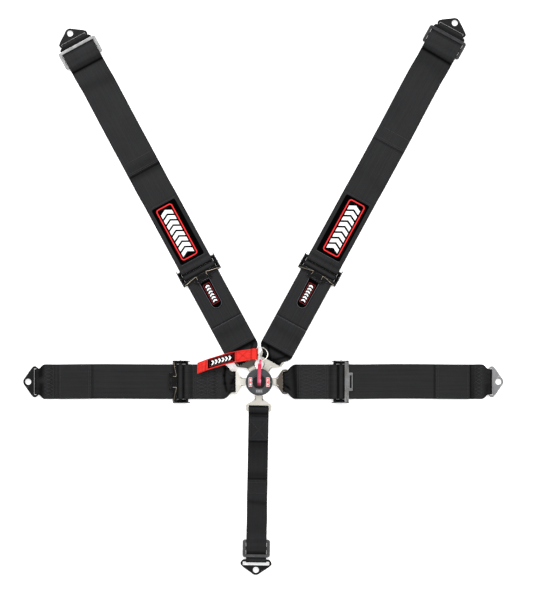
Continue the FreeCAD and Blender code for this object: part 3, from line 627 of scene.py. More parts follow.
def loft(name, outline, rings, xf, material, sharp=50.0):
    """Closed plate from an outline: rings is (inset, z) from the lower outer edge, up and in to the middle of the top."""
    p = np.array(outline, float)
    area = 0.5 * np.sum(p[:, 0] * np.roll(p[:, 1], -1) - np.roll(p[:, 0], -1) * p[:, 1])
    if area < 0:
        p = p[::-1]
    n = len(p)
    prev, nxt = np.roll(p, 1, 0), np.roll(p, -1, 0)
    e0 = (p - prev) / np.maximum(np.linalg.norm(p - prev, axis=1), 1e-9)[:, None]
    e1 = (nxt - p) / np.maximum(np.linalg.norm(nxt - p, axis=1), 1e-9)[:, None]
    n0, n1 = np.stack([-e0[:, 1], e0[:, 0]], 1), np.stack([-e1[:, 1], e1[:, 0]], 1)
    m = n0 + n1
    m /= np.maximum((m * n0).sum(1), 0.3)[:, None]
    verts, faces = [], []
    for inset, z in rings:
        q = p + m * inset
        verts += [(a[0], a[1], z) for a in q]
    faces.append(list(range(n))[::-1])
    for k in range(len(rings) - 1):
        for i in range(n):
            j = (i + 1) % n
            faces.append((k * n + i, k * n + j, (k + 1) * n + j, (k + 1) * n + i))
    faces.append([(len(rings) - 1) * n + i for i in range(n)])
    return new_object(name, xf(np.array(verts)), faces, material, sharp)


def trace(steps, n=10):
    """Outline points from lines (a, b) and arcs (ma, mb, a, b) through a middle point."""
    out = [steps[0]]
    for st in steps[1:]:
        if len(st) == 2:
            out.append(st)
            continue
        (ax, ay), (bx, by), (cx, cy) = out[-1], st[:2], st[2:]
        d = 2 * (ax * (by - cy) + bx * (cy - ay) + cx * (ay - by))
        if abs(d) < 1e-9:
            out.append((cx, cy))
            continue
        ux = ((ax * ax + ay * ay) * (by - cy) + (bx * bx + by * by) * (cy - ay) + (cx * cx + cy * cy) * (ay - by)) / d
        uy = ((ax * ax + ay * ay) * (cx - bx) + (bx * bx + by * by) * (ax - cx) + (cx * cx + cy * cy) * (bx - ax)) / d
        r = math.hypot(ax - ux, ay - uy)
        t0, t1, t2 = (math.atan2(q - uy, p - ux) for p, q in ((ax, ay), (bx, by), (cx, cy)))
        ccw = (bx - ax) * (cy - by) - (by - ay) * (cx - bx) > 0
        span = (t2 - t0) % (2 * math.pi) if ccw else -((t0 - t2) % (2 * math.pi))
        out += [(ux + r * math.cos(t0 + span * i / n), uy + r * math.sin(t0 + span * i / n)) for i in range(1, n + 1)]
    return out


def soften(points, sigma, ds=0.4):
    """Closed outline with its corners eased."""
    p = np.array(points, float)
    p = p[np.linalg.norm(p - np.roll(p, 1, 0), axis=1) > 1e-6]
    c = np.concatenate([p, p[:1]])
    s = np.concatenate([[0.0], np.cumsum(np.linalg.norm(np.diff(c, axis=0), axis=1))])
    n = max(24, int(s[-1] / ds))
    t = np.arange(n) * s[-1] / n
    q = np.stack([np.interp(t, s, c[:, k]) for k in range(2)], 1)
    m = int(4 * sigma / ds) + 1
    k = np.exp(-0.5 * (np.arange(-m, m + 1) * (s[-1] / n) / sigma) ** 2)
    k /= k.sum()
    e = np.concatenate([q[-m:], q, q[:m]])
    return np.stack([np.convolve(e[:, j], k, "valid") for j in range(2)], 1)


def circle(x, y, r, n=56):
    return np.array([(x + r * math.cos(2 * math.pi * i / n), y + r * math.sin(2 * math.pi * i / n)) for i in range(n)])


def signed(p):
    return 0.5 * float(np.sum(p[:, 0] * np.roll(p[:, 1], -1) - np.roll(p[:, 0], -1) * p[:, 1]))


def inward(p):
    prev, nxt = np.roll(p, 1, 0), np.roll(p, -1, 0)
    e0 = (p - prev) / np.maximum(np.linalg.norm(p - prev, axis=1), 1e-9)[:, None]
    e1 = (nxt - p) / np.maximum(np.linalg.norm(nxt - p, axis=1), 1e-9)[:, None]
    n0, n1 = np.stack([-e0[:, 1], e0[:, 0]], 1), np.stack([-e1[:, 1], e1[:, 0]], 1)
    m = n0 + n1
    return m / np.maximum((m * n0).sum(1), 0.4)[:, None]


def plate(name, outline, holes, z0, z1, ease, xf, material, flat=0.3):
    """Stamped plate with holes and rounded edges all round."""
    loops = [np.asarray(outline, float)] + [np.asarray(h, float) for h in holes]
    loops = [l if (signed(l) > 0) == (k == 0) else l[::-1] for k, l in enumerate(loops)]
    prof = [(ease + flat, z0), (ease, z0), (0.3 * ease, z0 + 0.3 * ease), (0.0, z0 + ease), (0.0, z1 - ease), (0.3 * ease, z1 - 0.3 * ease), (ease, z1), (ease + flat, z1)]
    verts, faces, first = [], [], []
    for l in loops:
        n, m = len(l), inward(l)
        base = len(verts)
        first.append((base, n))
        for inset, z in prof:
            verts += [(a[0], a[1], z) for a in l + m * inset]
        for k in range(len(prof) - 1):
            for i in range(n):
                j = (i + 1) % n
                faces.append((base + k * n + i, base + k * n + j, base + (k + 1) * n + j, base + (k + 1) * n + i))
    for k, flip in ((0, True), (len(prof) - 1, False)):
        index = [b + k * n + i for b, n in first for i in range(n)]
        rings = [[Vector(verts[b + k * n + i]) for i in range(n)] for b, n in first]
        for tri in mathutils.geometry.tessellate_polygon(rings):
            f = [index[i] for i in tri]
            if len(set(f)) == 3:
                faces.append(tuple(f[::-1] if flip else f))
    return new_object(name, xf(np.array(verts)), faces, material, 50.0)


def lathe(name, profile, material, segments=128, sharp=50.0):
    """Turned part: profile (r, z). It is closed, or it starts and ends on the axis."""
    poles = profile[0][0] == 0 and profile[-1][0] == 0
    p = profile[1:-1] if poles else profile
    n = len(p)
    verts, faces = [], []
    for i in range(segments):
        a = 2 * math.pi * i / segments
        verts += [(r * math.cos(a), r * math.sin(a), z) for r, z in p]
    for i in range(segments):
        j = (i + 1) % segments
        for k in range(n - 1 if poles else n):
            m = (k + 1) % n
            faces.append((i * n + k, j * n + k, j * n + m, i * n + m))
    if poles:
        lo, hi = len(verts), len(verts) + 1
        verts += [(0, 0, profile[0][1]), (0, 0, profile[-1][1])]
        for i in range(segments):
            j = (i + 1) % segments
            faces.append((lo, j * n, i * n))
            faces.append((hi, i * n + n - 1, j * n + n - 1))
    return new_object(name, np.array(verts) * MM, faces, material, sharp)


def wire(name, points, r, xf, material, sigma=1.2, sides=12, coarse=1.6):
    """Round wire with rounded ends along a smoothed line of (u, v, z) points."""
    q = thin_path(smooth_path(points, sigma, 0.3), coarse, 0.2)
    t = np.gradient(q, axis=0)
    t /= np.linalg.norm(t, axis=1)[:, None]
    e = np.cross(t[0], [0.0, 0.0, 1.0])
    if np.linalg.norm(e) < 1e-3:
        e = np.cross(t[0], [1.0, 0.0, 0.0])
    e /= np.linalg.norm(e)
    verts, rows = [], []
    radii = np.full(len(q), r)
    frames = []
    for i in range(len(q)):
        e = e - t[i] * (e @ t[i])
        e /= np.linalg.norm(e)
        frames.append((e.copy(), np.cross(t[i], e)))
    rings = [(q[0] - t[0] * r * 0.75, frames[0], r * 0.55)] + [(q[i], frames[i], radii[i]) for i in range(len(q))] + [(q[-1] + t[-1] * r * 0.75, frames[-1], r * 0.55)]
    for c, (a, b), k in rings:
        rows.append(len(verts))
        for j in range(sides):
            w = 2 * math.pi * j / sides
            verts.append(c + a * k * math.cos(w) + b * k * math.sin(w))
    faces = [list(range(sides))[::-1], list(range(rows[-1], rows[-1] + sides))]
    for a, b in zip(rows[:-1], rows[1:]):
        for j in range(sides):
            k = (j + 1) % sides
            faces.append((a + j, a + k, b + k, b + j))
    return new_object(name, xf(np.array(verts)), faces, material, 50.0)


def bevelled(node, material, width=0.4, segments=2, angle=28.0, edge=None, part=None, part_look=None):
    """The CAD node's own shape with rolled or broken edges, standing for the node."""
    src = NODES[node]
    bm = bmesh.new()
    bm.from_mesh(src.data)
    bmesh.ops.remove_doubles(bm, verts=bm.verts[:], dist=1e-6)
    bmesh.ops.recalc_face_normals(bm, faces=bm.faces[:])
    bmesh.ops.dissolve_limit(bm, angle_limit=math.radians(1.0), verts=bm.verts[:], edges=bm.edges[:])
    edges = [e for e in bm.edges if len(e.link_faces) == 2 and e.calc_face_angle(0.0) > math.radians(angle)]
    for f in bm.faces:
        f.material_index = 2 if part is not None and part(f.calc_center_median() / MM, f.normal) else 0
    if width > 0 and edges:
        done = bmesh.ops.bevel(bm, geom=edges, offset=width * MM, offset_type="OFFSET", segments=segments, profile=0.5, affect="EDGES", clamp_overlap=True)
        # bevel faces take the edge material; on the adjuster frames it is a painted highlight
        if edge is not None:
            for f in done["faces"]:
                f.material_index = 1
    bmesh.ops.remove_doubles(bm, verts=bm.verts[:], dist=2e-6)
    bmesh.ops.recalc_face_normals(bm, faces=bm.faces[:])
    bmesh.ops.triangulate(bm, faces=[f for f in bm.faces if len(f.verts) > 4])
    mesh = bpy.data.meshes.new(node + "_finished")
    bm.to_mesh(mesh)
    bm.free()
    mesh.shade_smooth()
    mesh.set_sharp_from_angle(angle=math.radians(38.0))
    mesh.materials.append(material)
    if edge is not None:
        mesh.materials.append(edge)
        mesh.materials.append(part_look or material)
    o = bpy.data.objects.new(node + "_finished", mesh)
    bpy.context.scene.collection.objects.link(o)
    return attach(o, BODY_OF[node], replaces=(node,))


def at(deg, u, z=1.0):
    c, s = math.cos(math.radians(deg)), math.sin(math.radians(deg))
    return (u * c * MM, u * s * MM, z * MM)


# ------------------------------------------------------------------ buckle
bevelled("buckle_back_plate", M["case"], 0.35)
bevelled("buckle_housing", M["case"], 0.35)
ring_profile = [(13.9, 21.0), (23.4, 21.0), (23.4, 19.4), (24.85, 19.4), (24.85, 21.0), (29.0, 21.0), (29.2, 21.2), (29.2, 22.2), (29.05, 22.55),
                (27.95, 23.66), (27.6, 23.9), (27.25, 24.0), (26.9, 24.0), (26.75, 23.85), (26.3, 23.85), (26.15, 24.0), (15.3, 24.0), (14.9, 23.93),
                (14.6, 23.78), (14.05, 23.35), (13.9, 23.05)]
attach(lathe("buckle_face_ring_turned", ring_profile, M["ring"], 144, 30.0), "buckle", replaces=("buckle_face_ring",))
edge = [(28.1, 23.53), (29.08, 22.55), (29.2, 22.2), (29.2, 21.3), (29.24, 21.3), (29.26, 22.25), (29.13, 22.62), (28.13, 23.62)]
attach(lathe("buckle_face_ring_edge", edge, M["knob"], 144, 40.0), "buckle")
bevelled("case_screws", M["zinc"], 0.15)
bevelled("lever_rotor", M["zinc"], 0.3)
knob_profile = [(0, 21.3), (13.2, 21.3), (13.4, 21.5), (13.4, 22.3), (13.25, 22.6), (12.9, 22.93), (12.5, 23.0), (9.6, 23.0), (9.4, 22.86), (9.0, 22.86), (8.8, 23.0),
                (7.1, 23.0), (6.75, 23.12), (6.6, 23.45), (6.6, 24.6), (6.45, 24.88), (6.15, 25.0), (0, 25.0)]
attach(lathe("lever_knob_turned", knob_profile, M["knob"], 96, 35.0), "lever", replaces=("lever_knob",))
bevelled("release_lever", M["lever"], 0.75, 3)
bevelled("pin_lift_plate", M["zinc"], 0.2)
bevelled("lock_pins", M["zinc"], 0.2)

turns = 2.75
coil = [(r * math.cos(a), r * math.sin(a), 13.4 + 6.95 * f)
        for f in np.linspace(0, 1, 160) for a in [2 * math.pi * turns * f] for r in [22.2 - 6.6 * f]]
spring = wire("pin_return_spring_coil", coil, 0.55, turned(0.0), M["spring"], sigma=0.6, coarse=1.4)
attach(spring, "buckle", replaces=("pin_return_spring",))
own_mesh(spring)

# three pads on the face, each with a plain pattern
flat0 = turned(0.0)
pads = []
for k, (x0, x1, y0, y1, mat) in enumerate(((-22.6, -15.4, -10.0, 10.0, "white"), (15.4, 22.6, -10.0, 10.0, "white"), (-8.0, 8.0, -24.2, -15.2, "grey"))):
    p = loft(f"turn_mark_pad_{k + 1}", rounded(x0, x1, y0, y1, 1.0), [(0.0, 24.0), (0.0, 24.22), (0.12, 24.33), (0.3, 24.37)], flat0, M[mat])
    pads.append(p)
    attach(p, "buckle", replaces=("buckle_turn_marks",) if k == 0 else ())
marks = []
for x in (-19.0, 19.0):
    for y in (1.0, -1.0):
        # a pair of turn arrows, one pointing each way
        marks.append([(x - 2.0, y * 4.4), (x, y * 8.0), (x + 2.0, y * 4.4), (x + 0.7, y * 4.4), (x + 0.7, y * 1.2), (x - 0.7, y * 1.2), (x - 0.7, y * 4.4)])
fields = [rounded(x - 2.9, x + 2.9, -9.2, 9.2, 0.6, 3) for x in (-19.0, 19.0)]
attach(prisms("turn_mark_fields", fields, 24.3, 24.46, flat0, M["red"], bevel=0.05), "buckle")
attach(prisms("turn_mark_arrows", marks, 24.4, 24.56, flat0, M["white"], bevel=0.05), "buckle")
bars = [rounded(-6.0 + 3.2 * i, -4.4 + 3.2 * i, -22.2, -17.2, 0.4, 3) for i in range(4)]
attach(prisms("turn_mark_bars", bars, 24.3, 24.48, flat0, M["grey_light"], bevel=0.06), "buckle")

# ------------------------------------------------------------------ pull ring and strap
R = 15.5
torus_v, torus_f = [], []
NU, NV = 120, 18
for i in range(NU):
    a = 2 * math.pi * i / NU
    for j in range(NV):
        b = 2 * math.pi * j / NV
        r = R + 1.2 * math.cos(b)
        torus_v.append((3.0 + r * math.cos(a), r * math.sin(a), 1.2 * math.sin(b)))
for i in range(NU):
    for j in range(NV):
        torus_f.append((i * NV + j, ((i + 1) % NU) * NV + j, ((i + 1) % NU) * NV + (j + 1) % NV, i * NV + (j + 1) % NV))
attach(new_object("pull_ring_wire", leaned(np.array(torus_v)), torus_f, M["nickel"], 80.0), "pull_ring", replaces=("lever_pull_ring",))

line = [(-18.6, -0.5), (-36.0, -1.6), (-53.9, -3.6), (-70.0, -6.0), (-85.0, -8.7), (-99.0, -11.2), (-111.5, -13.4), (-134.2, -16.9)]
strap_mid = [(-3.0, 0.0), (-18.6, -0.6), (-36.0, -2.9), (-53.9, -5.2), (-70.0, -8.4), (-85.0, -12.0), (-99.0, -15.6), (-111.5, -19.0), (-134.9, -27.0)]
mid_sorted = sorted(strap_mid)
low = [(x, n - 0.66) for x, n in line]
top = [(x, n + 0.66) for x, n in line]
path = [(-40.0, np.interp(-40.0, [p[0] for p in line[::-1]], [p[1] for p in line[::-1]]) - 0.66)] + [p for p in low if p[0] > -40.0][::-1]
path += [(-14.6, -3.02), (-5.6, -3.02), (-3.6, -2.1), (-2.95, 0.0), (-3.6, 2.1), (-5.6, 3.02), (-14.6, 3.02)]
path += top + [(-134.8, -16.95)] + low[::-1][:6] + [(-40.5, path[0][1])]
# the dents are creases across the pull strap, each with painted shade along it
pull = strap("pull_strap_web", path, [(-135, 12.5), (-133.5, 12.5), (0, 12.5)], leaned, M["red_web"], thick=1.3, cols=30, coarse=1.3, sigma=0.6, rib=0.07,
             mid=mid_sorted, floor=None, outer=-1.0,
             dents=((-117.5, -13.0, -115.0, 13.0, 1.6, 0.5, 0.50), (-123.5, -13.0, -125.5, 13.0, 1.6, 0.4, 0.25), (-49.5, -13.0, -51.0, 13.0, 1.6, 0.25, 0.35),
                    (-45.0, -9.6, -26.0, 9.6, 1.2, 0.25, 0.25), (-45.0, 9.6, -26.0, -9.6, 1.2, 0.25, 0.25), (-17.5, -13.0, -17.0, 13.0, 1.8, 0.3, 0.40),
                    (-4.0, -13.0, -4.0, 13.0, 2.2, 0.0, 0.55), (-131.5, -13.0, -132.0, 13.0, 1.5, 0.2, 0.2)))
attach(pull, "pull_strap", replaces=("pull_strap",))


def line_n(x, extra):
    return float(np.interp(x, [p[0] for p in line[::-1]], [p[1] for p in line[::-1]])) + extra


def mid_s(x):
    return float(np.interp(x, [p[0] for p in mid_sorted], [p[1] for p in mid_sorted]))


class StrapThreads(Threads):
    """Stitches on the pull strap, whose middle line wanders."""

    def stitch(self, a, b, z0, z1):
        Threads.stitch(self, (a[0], a[1] + mid_s(a[0])), (b[0], b[1] + mid_s(b[0])), z0, z1)


th = StrapThreads(leaned, width=0.6, height=0.3)
ztop = lambda x: line_n(x, 1.36)
th.row([(-50.5, -9.6), (-21.0, -9.6), (-21.0, 9.6), (-50.5, 9.6), (-50.5, -9.6)], ztop, 2.6)
th.row([(-50.5, -9.6), (-21.0, 9.6)], ztop, 2.6)
th.row([(-50.5, 9.6), (-21.0, -9.6)], ztop, 2.6)
th.row([(-134.0, -11.2), (-52.0, -11.2)], ztop, 2.6)
th.row([(-134.0, 11.2), (-52.0, 11.2)], ztop, 2.6)
th.row([(-130.8, -10.6), (-130.8, 10.6)], ztop, 2.6)
th.row([(-127.6, -10.6), (-127.6, 10.6)], ztop, 2.6)
attach(th.make("pull_strap_stitching", M["thread_red"]), "pull_strap")

# sewn patch on the pull strap, a grid so that it follows the strap's bend
gx = np.linspace(-112.0, -53.0, 40)
outer_ring = []
pv, pf = [], []
prof = [(-10.2, 0.0), (-10.2, 0.35), (-9.8, 0.62), (-9.2, 0.66), (-8.6, 0.55), (0.0, 0.52), (8.6, 0.55), (9.2, 0.66), (9.8, 0.62), (10.2, 0.35), (10.2, 0.0)]
for i, x in enumerate(gx):
    for s, h in prof:
        e = min(i, len(gx) - 1 - i)
        k = [0.35, 0.62, 0.66][e] if e < 3 and 0 < h else h
        k = min(k, h + 0.14) if h > 0 else 0.0
        pv.append((x, s + mid_s(x), line_n(x, 1.3) + k))
w = len(prof)
for i in range(len(gx) - 1):
    for j in range(w - 1):
        pf.append((i * w + j, i * w + j + 1, (i + 1) * w + j + 1, (i + 1) * w + j))
    pf.append((i * w, (i + 1) * w, (i + 1) * w + w - 1, i * w + w - 1))
pf.append(list(range(w)))
pf.append([(len(gx) - 1) * w + j for j in range(w)][::-1])
attach(new_object("pull_strap_patch", leaned(np.array(pv)), pf, M["label"], 50.0), "pull_strap", replaces=("pull_strap_label",))


def chevrons(u0, u1, h, count, thick, lean):
    """Row of arrow shapes between u0 and u1, each thick wide and pointing along +u."""
    out = []
    pitch = (u1 - u0 - lean - thick) / (count - 1)
    for i in range(count):
        a = u0 + pitch * i
        out.append([(a, -h), (a + thick, -h), (a + thick + lean, 0.0), (a, -h + 1e-4)][:0] + [(a, -h), (a + thick, -h), (a + thick + lean, 0.0), (a + lean, 0.0)])
        out.append([(a + lean, 0.0), (a + thick + lean, 0.0), (a + thick, h), (a, h)])
    return out


def strap_prisms(name, polys, lo, hi, material):
    """Printed shapes that follow the pull strap."""
    verts, faces = [], []
    for p in polys:
        p = np.array(p, float)
        n = 5
        base = len(verts)
        # quads only: two long sides, cut into strips so that they follow the bend
        for k in range(n + 1):
            f = k / n
            a, b = p[0] + (p[3] - p[0]) * f, p[1] + (p[2] - p[1]) * f
            for q, z in ((a, lo), (a, hi), (b, hi), (b, lo)):
                verts.append((q[0], q[1] + mid_s(q[0]), line_n(q[0], z)))
        for k in range(n):
            for j in range(4):
                m = (j + 1) % 4
                faces.append((base + 4 * k + j, base + 4 * k + m, base + 4 * k + 4 + m, base + 4 * k + 4 + j))
        faces.append((base, base + 1, base + 2, base + 3))
        faces.append((base + 4 * n + 3, base + 4 * n + 2, base + 4 * n + 1, base + 4 * n))
    return new_object(name, leaned(np.array(verts)), faces, material, 30.0)


attach(strap_prisms("pull_strap_chevrons", chevrons(-104.5, -60.5, 4.9, 6, 3.6, 3.2), 1.75, 1.95, M["white"]), "pull_strap")
frame_lines = [[(-108.4, s * 7.6 - 0.45), (-108.4, s * 7.6 + 0.45), (-56.6, s * 7.6 + 0.45), (-56.6, s * 7.6 - 0.45)] for s in (-1.0, 1.0)]
frame_lines += [[(x - 0.45, -7.6), (x - 0.45, 7.6), (x + 0.45, 7.6), (x + 0.45, -7.6)] for x in (-108.4, -56.6)]
attach(strap_prisms("pull_strap_patch_lines", frame_lines, 1.7, 1.9, M["red_dark"]), "pull_strap")

# ------------------------------------------------------------------ latch plates
neck = [(12.0, 4.4), (13.8, 6.2), (24.0, 6.2), (26.0, 9.0)]
half = neck + [(38.0, 9.0), (41.2, 12.4), (44.0, 16.8), (47.0, 21.2), (50.0, 24.8)]
full = neck + [(35.5, 9.0), (38.5, 10.8), (41.3, 15.0), (44.0, 19.6), (47.4, 25.0)]
steps = [(u, -h) for u, h in half] + [(51.2, -26.2, 53.6, -27.0), (60.0, -27.0), (62.2, -26.1, 63.0, -24.0), (63.0, 24.0), (62.2, 26.1, 60.0, 27.0),
                                      (53.6, 27.0), (51.2, 26.2, 50.0, 24.8)] + [(u, h) for u, h in half[::-1][1:]]
tongue_outline = soften(trace(steps), 0.9)
tip = [(58.0, -27.6), (63.6, -27.0, 65.4, -23.4), (63.0, -22.9), (63.0, 22.9), (65.4, 23.4), (63.6, 27.0, 58.0, 27.6)]
hook = [(u, -h) for u, h in half] + [(51.4, -26.6, 54.6, -27.4)] + tip + [(54.6, 27.4), (51.4, 26.6, 50.0, 24.8)]
round_hook = [(u, -h) for u, h in full] + [(49.4, -27.4, 53.0, -28.2)] + tip + [(53.0, 28.2), (49.4, 27.4, 47.4, 25.0)]
round_outline = soften(trace(round_hook + [(u, h) for u, h in full[::-1][1:]]), 0.6)
hooked_outline = soften(trace(hook + [(u, h) for u, h in half[::-1][1:]]), 0.6)
lock_hole = soften(trace([(16.1, -2.7), (19.4, -2.7), (22.1, 0.0, 19.4, 2.7), (16.1, 2.7), (13.4, 0.0, 16.1, -2.7)], 16), 0.2, 0.3)
tongue_slot = rounded(51.5, 57.0, -23.3, 23.3, 1.5)
# each latch plate's look: plain, lit, shaded and slot-shaded copies of one nickel plating
TONGUE_LOOKS = {"right_lap": "nickel_slot_shade", "right_shoulder": "nickel_shaded", "left_shoulder": "nickel_shadow", "left_lap": "nickel_lit", "crotch": "nickel_shaded"}
for name, look in TONGUE_LOOKS.items():
    node = "tongue_" + name
    xf = turned(DEG[name])
    o = plate(node + "_plate", {"right_lap": tongue_outline, "left_lap": round_outline, "crotch": round_outline}.get(name, hooked_outline), [lock_hole, tongue_slot], 5.0, 8.2, 0.7, xf, M[look])
    attach(o, BODY_OF[node], replaces=(node,))
    for k, sgn in enumerate((-1.0, 1.0)):
        rib = [(31.0, sgn * 7.9), (39.0, sgn * 7.9), (42.4, sgn * 10.4), (42.4, sgn * 8.4), (39.4, sgn * 6.2), (31.0, sgn * 6.2)]
        o = loft(f"{node}_rib_{k + 1}", soften(rib, 0.35, 0.3), [(0.0, 8.05), (0.0, 8.5), (0.15, 8.75), (0.45, 8.88)], xf, M["nickel" if name == "right_lap" else look], 60.0)
        attach(o, BODY_OF[node])

# ------------------------------------------------------------------ anchor brackets and slides
br = [(-2.5, -27.0), (-1.4, -29.4), (4.0, -34.0), (9.0, -34.0), (14.5, -28.0), (27.5, -9.0), (31.5, 0.0, 27.5, 9.0), (14.5, 28.0), (9.0, 34.0), (4.0, 34.0),
      (-1.4, 29.4), (-2.5, 27.0)]
bracket_outline = soften(trace(br, 24), 0.8)
for name, ub in UB.items():
    silver = name == "right_lap"
    shift = np.array([ub, 0.0])
    o = plate(name + "_bracket_plate", bracket_outline + shift, [np.array(rounded(2.5, 10.5 if name == "crotch" else 7.8, -29.0, 29.0, 1.4)) + shift, circle(ub + 20.5, 0.0, 6.6)],
              3.5, 6.5, 0.6, turned(DEG[name]), M["bracket_silver" if silver else "bracket"])
    attach(o, name + "_bracket", replaces=(name + "_bracket",))
for name, s0 in S0.items():
    silver = name == "left_shoulder"
    bar, gap, hw, trim = (6.5, 9.75, 30.0, 6.9) if name == "crotch" else (7.0, 10.0, 45.0, 6.2)
    finish = {"left_shoulder": "slide_silver", "crotch": "slide_steel"}.get(name, "slide_grey")
    holes = [rounded(s0 + bar + k * (bar + gap), s0 + bar + k * (bar + gap) + gap, -(hw - trim), hw - trim, 1.6) for k in range(2)]
    o = plate(name + "_slide_frame", rounded(s0, s0 + 3 * bar + 2 * gap, -hw, hw, 5.0, 10), holes, 3.7, 7.2, 0.9, turned(DEG[name]), M[finish])
    attach(o, BODY_OF[name + "_slide"], replaces=(name + "_slide",))

# ------------------------------------------------------------------ adjusters
for name, a0 in A0.items():
    sign = 1.0 if name.endswith("lap") else -1.0
    # right lap frame: silver plate and tab, and the flanges' upper faces painted silver as a highlight
    def bright(c, nrm, a0=a0, name=name):
        return name == "right_lap" and (c.x > a0 + 21.8 and abs(c.y) < 43.9 or abs(c.y) > 44.0 and nrm.z > 0.9 and a0 + 2.0 < c.x < a0 + 26.0)

    bevelled(name + "_adjuster_frame", M["adjuster"], 0.35, 2, edge=M["adjuster_edge_highlight"], part=bright, part_look=M["adjuster_silver_and_highlight"])
    bevelled(name + "_adjuster_lock_bar", M["adjuster"], 0.3, 2)
    xf = turned(DEG[name])
    for k, s in enumerate((-1.0, 1.0)):
        # a dark plate from the flange in to the webbing's edge: partly an in-turned foot, partly a dark sheet standing
        # for the shade in that gap
        foot_and_gap_shade = rounded(min(a0 - sign * 2.0, a0 + sign * 30.5), max(a0 - sign * 2.0, a0 + sign * 30.5), min(s * 38.7, s * 44.6), max(s * 38.7, s * 44.6), 1.0, 4)
        o = loft(f"{name}_channel_foot_{k + 1}", foot_and_gap_shade, [(0.2, 1.8), (0.0, 2.0), (0.0, 2.6), (0.25, 2.85)], xf, M["adjuster"])
        attach(o, name + "_adjuster")
        pts = [(29.6, s * 43.6, 8.9), (29.0, s * 42.6, 9.8), (26.4, s * 30.0, 10.0), (23.4, s * 16.5, 9.8), (22.4, s * 13.4, 9.6), (23.4, s * 11.8, 9.3),
               (27.0, s * 11.8, 9.0), (30.2, s * 12.2, 8.75)]
        o = wire(f"{name}_spring_wire_{k + 1}", [(a0 + sign * x, y, z) for x, y, z in pts], 0.62, xf, M["gold"], sigma=0.8)
        attach(o, name + "_adjuster", replaces=(name + "_adjuster_springs",) if k == 0 else ())

# ------------------------------------------------------------------ belts
GATHER = [(50.0, 22.4), (58.5, 22.6), (61.0, 23.8), (63.5, 26.6), (67.0, 30.8), (71.0, 34.6), (75.0, 37.0), (79.5, 38.0)]


def oval(cx, cz, ru, rz, d0, d1, n=18):
    return [(cx + ru * math.cos(math.radians(d0 + (d1 - d0) * i / n)), cz + rz * math.sin(math.radians(d0 + (d1 - d0) * i / n))) for i in range(n + 1)]


TONGUE_LOOP = oval(60.0, 6.6, 7.6, 4.35, -90.0, -270.0, 24)
# folds pressed into each belt where it narrows to its latch plate, each with painted shade along it; the ones with no
# depth are only painted shade
FOLDS = {
    "left_lap": ((74.0, -30.0, 76.5, -14.0, 3.2, 0.9, 0.85), (76.5, -14.0, 75.0, 4.0, 3.2, 0.9, 0.85), (75.0, 4.0, 71.0, 20.0, 3.0, 0.9, 0.8), (78.0, -33.0, 74.0, -26.0, 3.0, 0.4, 0.6),
                 (56.0, -6.0, 60.0, 4.0, 3.4, 0.6, 0.8), (52.5, -24.0, 52.5, 24.0, 2.8, 0.0, 0.85), (64.0, -25.0, 70.0, -32.0, 2.6, 0.3, 0.6), (60.0, 12.0, 66.0, 24.0, 2.4, 0.4, 0.5),
                 (97.0, -38.0, 97.0, 30.0, 3.0, 0.1, 0.28)),
    "right_lap": ((75.5, 36.0, 81.5, -37.0, 7.0, 0.6, 0.72), (55.0, -6.0, 63.0, -12.0, 2.0, 0.9, 0.9), (63.0, -12.0, 67.0, -17.0, 2.0, 0.6, 0.7),
                  (53.0, -24.0, 53.0, 24.0, 2.6, 0.0, 0.75), (58.0, 20.0, 66.0, 27.0, 2.4, 0.5, 0.5)),
    "left_shoulder": ((83.5, -38.0, 83.5, 38.0, 5.5, 0.3, 0.85), (60.0, -28.0, 60.0, 28.0, 10.0, 0.0, 0.55), (56.0, -6.0, 79.0, -26.0, 2.4, 0.9, 0.7), (56.0, 8.0, 80.0, 18.0, 2.4, 0.9, 0.7)),
    "right_shoulder": ((78.0, -36.0, 78.0, 36.0, 5.0, 0.3, 0.88), (55.0, -26.0, 55.0, 26.0, 6.0, 0.0, 0.75), (56.0, 4.0, 78.0, 20.0, 3.0, 1.0, 0.75), (58.0, -6.0, 76.0, -26.0, 3.0, 0.9, 0.7),
                       (68.0, 26.0, 74.0, 36.0, 4.0, 0.0, 0.7)),
    "crotch": ((69.5, -22.0, 69.5, 22.0, 3.4, 0.5, 0.7), (53.5, -22.0, 53.5, 22.0, 3.0, 0.0, 0.85), (75.0, -12.0, 77.0, 22.0, 1.6, 0.3, 0.45), (131.5, -22.0, 131.5, 22.0, 1.6, 0.2, 0.75),
               (137.0, -22.0, 137.0, 22.0, 8.0, 0.0, 0.3), (212.5, -22.0, 212.5, 22.0, 1.6, 0.0, 0.6), (150.0, -22.0, 150.0, 22.0, 24.0, 0.0, 0.25), (205.0, -22.0, 206.0, 22.0, 10.0, 0.0, 0.35), (262.0, -22.0, 267.0, 22.0, 5.0, 0.3, 0.35)),
}


# folds near the anchor brackets, each with painted shade along it; the ones with no depth are only painted shade
ANCHOR_FOLDS = {
    "left_lap": ((476.5, -36.0, 478.0, -14.0, 6.0, 0.3, 0.7), (476.5, 8.0, 478.0, 34.0, 6.0, 0.3, 0.65), (489.0, -28.0, 488.0, 28.0, 2.4, 0.0, 0.5), (455.0, -38.0, 456.0, 30.0, 4.0, 0.2, 0.3)),
    "right_lap": ((462.5, -38.0, 461.0, 38.0, 4.0, 0.3, 0.75), (507.6, -29.0, 507.6, 29.0, 3.0, 0.0, 0.85), (497.0, -30.0, 499.0, -10.0, 5.0, 0.3, 0.4), (470.0, -36.0, 476.0, 30.0, 7.0, 0.0, 0.25)),
}


def wrap(z):
    return [(22.2, 0.95), (10.5, 0.95), (7.7, 1.5), (8.0, 3.4)] + oval(13.5, 6.0, 5.1, 4.3, 200.0, 0.0, 16) + [(18.9, 5.3), (19.5, z + 0.45), (20.8, z)]


